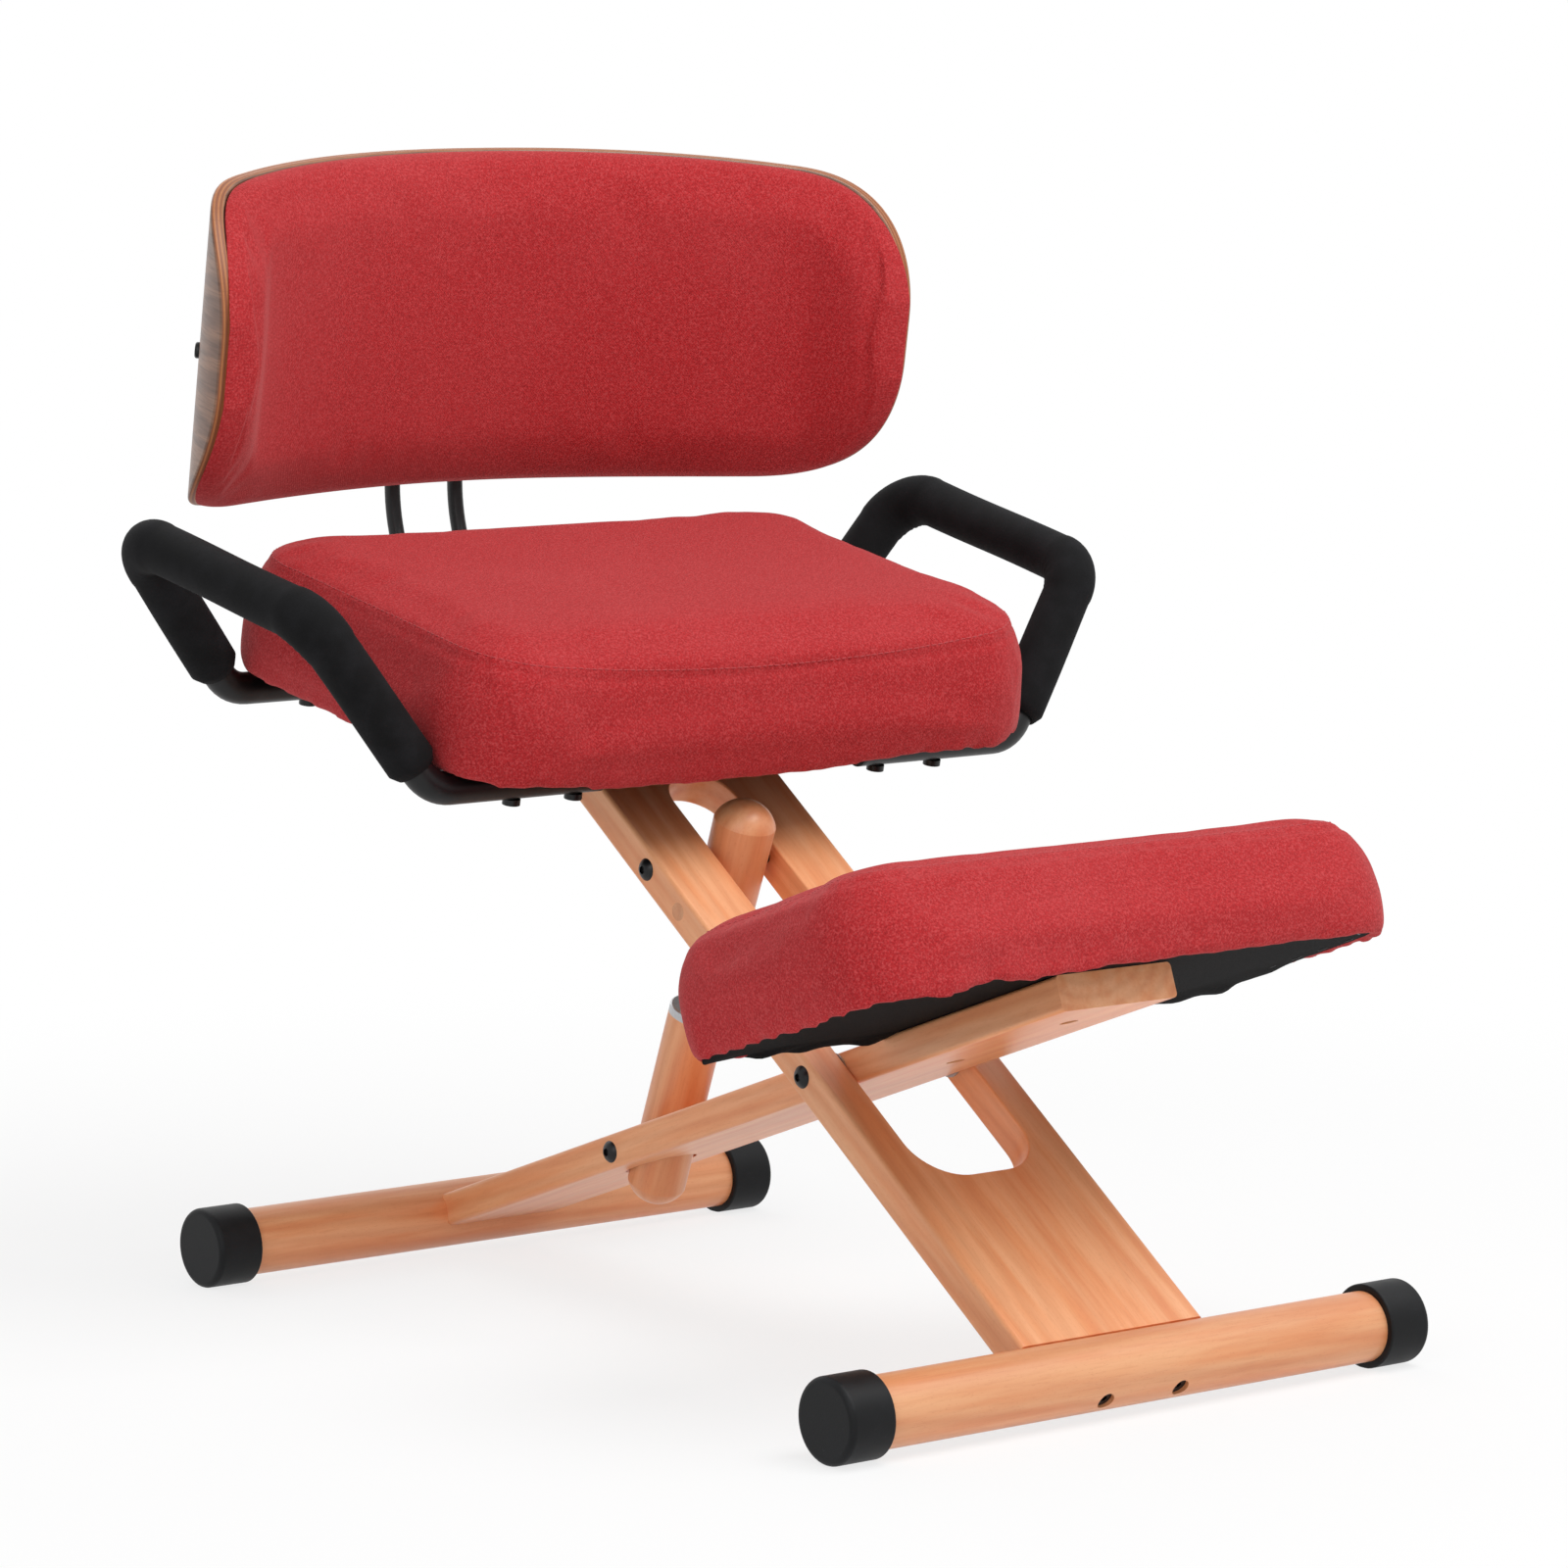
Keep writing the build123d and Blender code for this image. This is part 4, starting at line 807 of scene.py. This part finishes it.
def dust_cover(name, node, bench, size, middle, top, sag):
    """Thin black sheet, stretched and stapled, a little wavy along its edge."""
    width, depth, corner = size
    count = SHEET_POINTS
    outline = round_outline(width, depth, corner, count)
    shares = np.concatenate([np.linspace(0, 0.8, 9), np.linspace(0.84, 1.0, 7)])
    points, faces = [(*middle, top - SHEET_THICK)], []
    along = np.arange(count) / count * np.linalg.norm(np.roll(outline, -1, 0) - outline, axis=1).sum()
    wave = ripple(along, (0.043, 1.0, 0.2), (0.029, 0.6, 1.9), (0.071, 0.8, 0.7))
    for share in shares[1:]:
        edge = max(share - 0.86, 0) / 0.14
        for (x, y), lift in zip(outline * share, wave):
            spread = 1 + edge * lift * 0.0016
            loose = edge * sag * np.clip(y / depth * 4, 0, 1)
            height = top - SHEET_THICK + edge * lift * 0.00012 - loose * (1 + 0.35 * lift)
            points.append((x * spread + middle[0], y * spread + middle[1], height))
    faces.extend([0, 1 + i, 1 + (i + 1) % count] for i in range(count))
    for level in range(len(shares) - 2):
        first = 1 + level * count
        for i in range(count):
            j = (i + 1) % count
            faces.append([first + i, first + i + count, first + j + count, first + j])
    piece = new_piece(name, bench.out(points), faces, DUST)
    thick = piece.modifiers.new("thick", "SOLIDIFY")
    thick.thickness = SHEET_THICK
    thick.offset = 0.0
    settle(piece)
    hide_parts(node)
    return smooth(piece)


seat_dust = dust_cover("seat_dust_cover", "seat_cover", SEAT, (*SEAT_SHEET, 0.053), (0.0, 0.0), 0.0, 0.0)
knee_dust = dust_cover("knee_dust_cover", "knee_cover", KNEE, (*KNEE_SHEET, 0.036), (0.004, 0.001),
                       0.0125, 0.0028)
for cover, body, size, rest in ((seat_dust, "seat_frame", SEAT_SHEET, "seat_board"),
                                (knee_dust, "knee_arm_body", KNEE_SHEET, "knee_board")):
    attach(cover, body)


def staple_line(bench, size, height):
    path = [bench.out([x, y, height]) for x, y in round_outline(*size, 200)]
    return path, [-bench.axes[2]] * len(path), True


for name, bench, size, height, body in (
        ("seat_staples", SEAT, (0.440, 0.288, 0.046), -0.0009, "seat_frame"),
        ("knee_staples", KNEE, (0.416, 0.188, 0.028), 0.0116, "knee_arm_body")):
    row = lay_row(name, [staple_line(bench, size, height)], *STAPLE, SCREW_BLACK)
    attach(row, body)


# Back pad
PAD_THICK = 0.0235
PAD_EDGE = 0.0105
PAD_ROLL = 0.034
PAD_CROWN = 0.0035
PAD_REAR = 0.0008
PAD_HELD = 0.008
PAD_OUTLINE_DEPTH = 0.003
BEND_FILL = 0.0055
BEND_MIDDLE = 0.036
BEND_SPREAD = 0.034
WRAP_LAYERS = ((0.0016, -0.0070), (0.0027, -0.0030), (0.0029, 0.0020), (0.0027, 0.0048),
               (0.0021, 0.0056), (0.0014, 0.0046), (0.0013, -0.0004))


def plan_point(turn, offset):
    """Point of the back's plan at a turn from its middle, offset to the rear of the shell's front face."""
    side = -1 if turn < 0 else 1
    turn = abs(turn)
    if turn <= WING_START:
        reach = MIDDLE_RADIUS + offset
        return side * reach * sin(turn), reach * cos(turn) - MIDDLE_RADIUS
    reach = WING_RADIUS + offset
    return side * (WING_X + reach * sin(turn)), WING_Y + reach * cos(turn)


def plan_length(turn):
    """Length along the shell's front face from its middle."""
    size = abs(turn)
    run = MIDDLE_RADIUS * min(size, WING_START) + WING_RADIUS * max(size - WING_START, 0)
    return run if turn >= 0 else -run


def end_height(x, y, inset):
    """Half height of the panel over a point of its plan: bowed edges that run into round corners."""
    tip = WING_RADIUS * sin(WING_END - WING_VIEW) - inset
    middle = WING_Y * sin(WING_VIEW) - WING_X * cos(WING_VIEW)
    span = tip - middle
    bow = (span**2 + BACK_BOW**2) / (2 * BACK_BOW)
    half = BACK_HEIGHT / 2 - inset
    corner = BACK_CORNER - inset
    slide = (abs(x) - WING_X) * cos(WING_VIEW) - (y - WING_Y) * sin(WING_VIEW)
    edge = half - bow + sqrt(max(bow**2 - (slide - middle) ** 2, 0))
    corner_x = tip - corner
    corner_z = half - bow + sqrt((bow - corner) ** 2 - (corner_x - middle) ** 2)
    if slide > corner_x:
        round_edge = corner_z + sqrt(max(corner**2 - (slide - corner_x) ** 2, 0))
        edge = min(edge, round_edge)
    return max(edge, 0.0)


def turn_at(length):
    """Turn from the middle at a length along the shell's front face."""
    size = abs(length)
    middle = MIDDLE_RADIUS * WING_START
    turn = size / MIDDLE_RADIUS if size <= middle else WING_START + (size - middle) / WING_RADIUS
    return turn if length >= 0 else -turn


def unbent(x, y):
    """Turn from the middle and offset of a point of the back's plan."""
    side = -1 if x < 0 else 1
    turn = atan2(abs(x), y + MIDDLE_RADIUS)
    if turn <= WING_START:
        return side * turn, hypot(x, y + MIDDLE_RADIUS) - MIDDLE_RADIUS
    across, rearward = abs(x) - WING_X, y - WING_Y
    return side * atan2(across, rearward), hypot(across, rearward) - WING_RADIUS


def wrapped(spot, offset):
    """A spot of the unrolled back as a point in its frame."""
    x, y = plan_point(turn_at(spot[0]), offset)
    return x, y, spot[1]


def pad_outline(last):
    """Edge of the pad on the unrolled shell, as close points."""
    upper = []
    for turn in np.linspace(-last, last, 400):
        x, y = plan_point(turn, -PAD_OUTLINE_DEPTH)
        upper.append((plan_length(turn), end_height(x, y, 0.0)))
    return np.array(upper + [(along, -height) for along, height in upper])


def pad_grid():
    """Rows of spots on the unrolled shell and the pad's thickness at each, fuller in the wings' bends."""
    last = WING_END - 0.0012 / WING_RADIUS
    wing = np.linspace(WING_START, last, 24)[1:]
    half_turns = np.concatenate([np.linspace(0, WING_START, 34), wing])
    turns = np.concatenate([-half_turns[:0:-1], half_turns])
    shares = np.sin(np.linspace(-pi / 2, pi / 2, 43))
    edge = pad_outline(last)
    wing_middle = plan_length(WING_START) + BEND_MIDDLE
    reach = plan_length(last)
    flat, thick = [], []
    for turn in turns:
        x, y = plan_point(turn, -PAD_OUTLINE_DEPTH)
        half = end_height(x, y, 0.001)
        for share in shares:
            spot = (plan_length(turn), share * half)
            gap = np.hypot(edge[:, 0] - spot[0], edge[:, 1] - spot[1]).min()
            roll = (PAD_THICK - PAD_EDGE) * rounded(gap / PAD_ROLL)
            bridge = BEND_FILL * hump(abs(spot[0]), wing_middle, BEND_SPREAD)
            crown = PAD_CROWN * (1 - (spot[0] / reach) ** 4)
            flat.append(spot)
            thick.append(PAD_EDGE + roll + (bridge + crown) * (1 - share ** 2))
    return np.array(flat), thick, len(turns), len(shares)


def grid_border(rows, columns):
    """Numbers of the points round the edge of a grid."""
    border = [i * columns for i in range(rows)]
    border += [(rows - 1) * columns + j for j in range(1, columns)]
    border += [i * columns + columns - 1 for i in range(rows - 2, -1, -1)]
    return border + list(range(columns - 2, 0, -1))


def wrap_layers(rim):
    """Loops of the cover round the shell's ends and lower edge; along the top they stay in front of it."""
    way = np.roll(rim, -1, 0) - np.roll(rim, 1, 0)
    outward = np.column_stack([way[:, 1], -way[:, 0]])
    outward = outward / np.linalg.norm(outward, axis=1, keepdims=True)
    upper = np.clip((outward[:, 1] - 0.25) / 0.45, 0, 1)
    layers = []
    for far, depth in WRAP_LAYERS:
        spread = far * (1 - upper) + upper * 0.0004
        level = depth * (1 - upper) + upper * np.minimum(depth, -PAD_REAR)
        spots = rim + outward * spread[:, None]
        layers.append([wrapped(spot, deep) for spot, deep in zip(spots, level)])
    return layers


def back_cushion():
    """Curved pad with a crowned face and a rolled edge, bent along the shell; its cover wraps the shell's
    ends and lower edge."""
    flat, thick, rows, columns = pad_grid()
    border = grid_border(rows, columns)
    points = [wrapped(spot, -deep) for spot, deep in zip(flat, thick)]
    points += [wrapped(spot, -PAD_REAR) for spot in flat]
    faces = []
    for shift, order in ((0, 1), (rows * columns, -1)):
        for i in range(rows - 1):
            for j in range(columns - 1):
                a = shift + i * columns + j
                faces.append([a, a + 1, a + columns + 1, a + columns][::order])
    chain = [border]
    for layer in wrap_layers(flat[border]):
        chain.append(list(range(len(points), len(points) + len(layer))))
        points += layer
    chain.append([b + rows * columns for b in border])
    for upper_loop, lower_loop in zip(chain, chain[1:]):
        for k in range(len(border)):
            j = (k + 1) % len(border)
            faces.append([upper_loop[k], upper_loop[j], lower_loop[j], lower_loop[k]])
    piece = new_piece("back_pad_cover", BACK.out(points), faces, CLOTH)

    def behind(world):
        return np.array([unbent(x, y)[1] > -PAD_HELD for x, y in BACK.into(world)[:, :2]])

    inflate(piece, behind, 0, 0.004)
    index = corner_points(piece)
    local = BACK.into(points_of(piece))
    spots = np.array([(plan_length(unbent(x, y)[0]), z) for x, y, z in local])
    weave_map(piece, spots[index])
    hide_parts("back_pad")
    return smooth(piece)


back = back_cushion()
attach(back, "seat_frame")


# Foam grips on the side handles
HANDLE_DROP = -0.012
GRIP_POINTS = [(0.244, -0.112, HANDLE_DROP), (0.323, -0.074, 0.095), (0.330, 0.128, 0.099),
               (0.244, 0.127, HANDLE_DROP)]
GRIP_CORNER = 0.032
GRIP_START = 0.0172
GRIP_STEP = 0.006
GRIP_RADIUS = 0.017
GRIP_BORE = 0.01112
GRIP_ROUND = 0.0035
GRIP_SIDES = 40
CREASE_PITCH = 0.0075


def unit(vector):
    return vector / np.linalg.norm(vector)


def grip_line(mirror):
    """Points along the middle of one grip in the seat's frame, each with how hard it bends there and
    which way is inward."""
    first, second, third, fourth = (np.array(p) * np.array([mirror, 1, 1]) for p in GRIP_POINTS)
    start = first + unit(second - first) * GRIP_START
    end = fourth + unit(third - fourth) * GRIP_START
    straight = (0.0, np.zeros(3))
    line = [(start, *straight)]
    for before, here, after in ((start, second, third), (second, third, end)):
        to_start = unit(before - here)
        to_end = unit(after - here)
        half = np.arccos(np.clip(to_start @ to_end, -1, 1)) / 2
        inward = unit(to_start + to_end)
        middle = here + inward * GRIP_CORNER / sin(half)
        side = unit(to_start - (to_start @ inward) * inward)
        span = pi / 2 - half
        for step in np.linspace(-1, 1, 17):
            spot = middle - GRIP_CORNER * (inward * cos(span * step) + side * sin(span * step))
            line.append((spot, cos(step * pi / 2) ** 0.5 if abs(step) < 1 else 0.0, inward))
    line.append((end, *straight))
    filled = [line[0]]
    for spot, bend, inward in line[1:]:
        last = filled[-1][0]
        parts = int(np.linalg.norm(spot - last) / GRIP_STEP) + 1
        for step in range(1, parts):
            filled.append((last + (spot - last) * step / parts, *straight))
        filled.append((spot, bend, inward))
    return filled


def foam_grip(name, node, mirror):
    """Foam sleeve: soft round ends, a bore for the tube and faint creases inside the bends."""
    line = grip_line(mirror)
    spots = np.array([spot for spot, _, _ in line])
    ahead = np.gradient(spots, axis=0)
    run = np.concatenate([[0], np.cumsum(np.linalg.norm(np.diff(spots, axis=0), axis=1))])
    across = np.cross(unit(ahead[0]), (0, 0, 1))
    rings, bore = [], []
    for (spot, bend, inward), onward, at in zip(line, ahead, run):
        onward = unit(onward)
        across = unit(across - (across @ onward) * onward)
        up = np.cross(onward, across)
        short = max(GRIP_ROUND - min(at, run[-1] - at), 0)
        edge = GRIP_ROUND - sqrt(max(GRIP_ROUND**2 - short**2, 0))
        ring, hole = [], []
        for k in range(GRIP_SIDES):
            turn = 2 * pi * k / GRIP_SIDES
            way = across * cos(turn) + up * sin(turn)
            pinch = max(way @ inward, 0.0) * bend
            crease = 0.0007 * pinch * sin(at * 2 * pi / CREASE_PITCH)
            swell = 0.00035 * sin(at * 37 + 2.1 * cos(turn + mirror)) - 0.0006 * pinch + 0.0014 * bend
            ring.append(spot + way * (GRIP_RADIUS - edge + crease + swell))
            hole.append(spot + way * GRIP_BORE)
        rings.append(ring)
        bore.append(hole)
    loops = rings + bore[::-1]
    points = [p for loop in loops for p in loop]
    faces = []
    for i in range(len(loops)):
        here = i * GRIP_SIDES
        after = (i + 1) % len(loops) * GRIP_SIDES
        for k in range(GRIP_SIDES):
            j = (k + 1) % GRIP_SIDES
            faces.append([here + k, here + j, after + j, after + k])
    piece = new_piece(name, SEAT.out(points), faces, FOAM)
    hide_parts(node)
    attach(piece, "seat_frame")
    return smooth(piece)


foam_grip("grip_foam_left", "handle_grip_left", 1)
foam_grip("grip_foam_right", "handle_grip_right", -1)


# Studio: pale floor, soft light and the photograph's view
def seen_rays(graph):
    """1 for a ray that shows a surface and 0 for one that only lights others."""
    path = graph.add("ShaderNodeLightPath", {}, {}, None)
    seen = Socket(graph, path.outputs["Is Camera Ray"])
    for kind in ("Is Glossy Ray", "Is Transmission Ray"):
        seen = seen.at_least(Socket(graph, path.outputs[kind]))
    return seen


def studio_floor():
    floor = Finish("studio_floor")
    here = floor.add("ShaderNodeTexCoord", {}, {}, "Object")
    far = (floor.along(here, 0) ** 2.0 + floor.along(here, 1) ** 2.0).root()
    speck = floor.noise(here, 30.0, 2.0)
    pale = floor.mix(speck * 0.2, paint(246, 246, 246), paint(240, 240, 240))
    lit = floor.add("ShaderNodeBsdfPrincipled", {}, {"Base Color": pale, "Roughness": 0.9})
    white = floor.add("ShaderNodeEmission", {}, {"Color": (1, 1, 1, 1), "Strength": 1.0})
    share = seen_rays(floor) * (0.78 + floor.band(far, 0.65, 1.5) * 0.22)
    mixed = floor.add("ShaderNodeMixShader", {}, {0: share, 1: lit, 2: white})
    floor.add("ShaderNodeOutputMaterial", {}, {"Surface": mixed}, None)
    mesh = bpy.data.meshes.new("floor")
    mesh.from_pydata([(-9, -9, 0), (9, -9, 0), (9, 9, 0), (-9, 9, 0)], [], [[0, 1, 2, 3]])
    mesh.materials.append(floor.material)
    thing = stand("floor", mesh)
    thing.location.z = -0.0003


def studio_light(name, place, aim, size, power):
    lamp = bpy.data.lights.new(name, "AREA")
    lamp.shape = "DISK"
    lamp.size = size
    lamp.energy = power
    thing = stand(name, lamp)
    thing.location = place
    thing.rotation_euler = (Vector(aim) - Vector(place)).to_track_quat("-Z", "Y").to_euler()


def studio_world():
    world = bpy.data.worlds.new("studio")
    scene.world = world
    world.use_nodes = True
    sky = Graph(world.node_tree)
    sky.tree.nodes.clear()
    strength = 0.40 + seen_rays(sky) * 0.60
    white = sky.add("ShaderNodeBackground", {}, {"Color": (1, 1, 1, 1), "Strength": strength})
    sky.add("ShaderNodeOutputWorld", {}, {"Surface": white}, None)


def photo_camera():
    """The view fitted to the photograph; its focal length is in picture widths."""
    turn, lift, far = radians(38.472), radians(6.912), 4.1386
    focal = 6324.0 / 1600.0
    back_way = np.array([-sin(turn) * cos(lift), -cos(turn) * cos(lift), sin(lift)])
    right = np.array([cos(turn), -sin(turn), 0.0])
    up = np.cross(back_way, right)
    place = far * back_way + 0.00074 * right + 0.36025 * up + np.array([0.0, -0.02265, -0.0004])
    lens = bpy.data.cameras.new("photo_camera")
    lens.sensor_width = 36.0
    lens.lens = lens.sensor_width * focal
    lens.clip_end = 60.0
    axes = Matrix([list(right), list(up), list(back_way)]).transposed().to_4x4()
    scene.camera = stand("photo_camera", lens)
    scene.camera.matrix_world = Matrix.Translation(Vector(place)) @ axes


studio_floor()
studio_light("key_light", (0.6, -1.5, 3.05), (0.0, 0.0, 0.4), 2.4, 74.0)
studio_light("side_light", (-2.6, -1.9, 1.7), (0.0, 0.0, 0.35), 2.0, 17.0)
studio_light("rear_light", (0.4, 2.6, 2.4), (0.0, 0.0, 0.5), 2.2, 18.0)
studio_world()
photo_camera()
scene.view_settings.view_transform = "Standard"
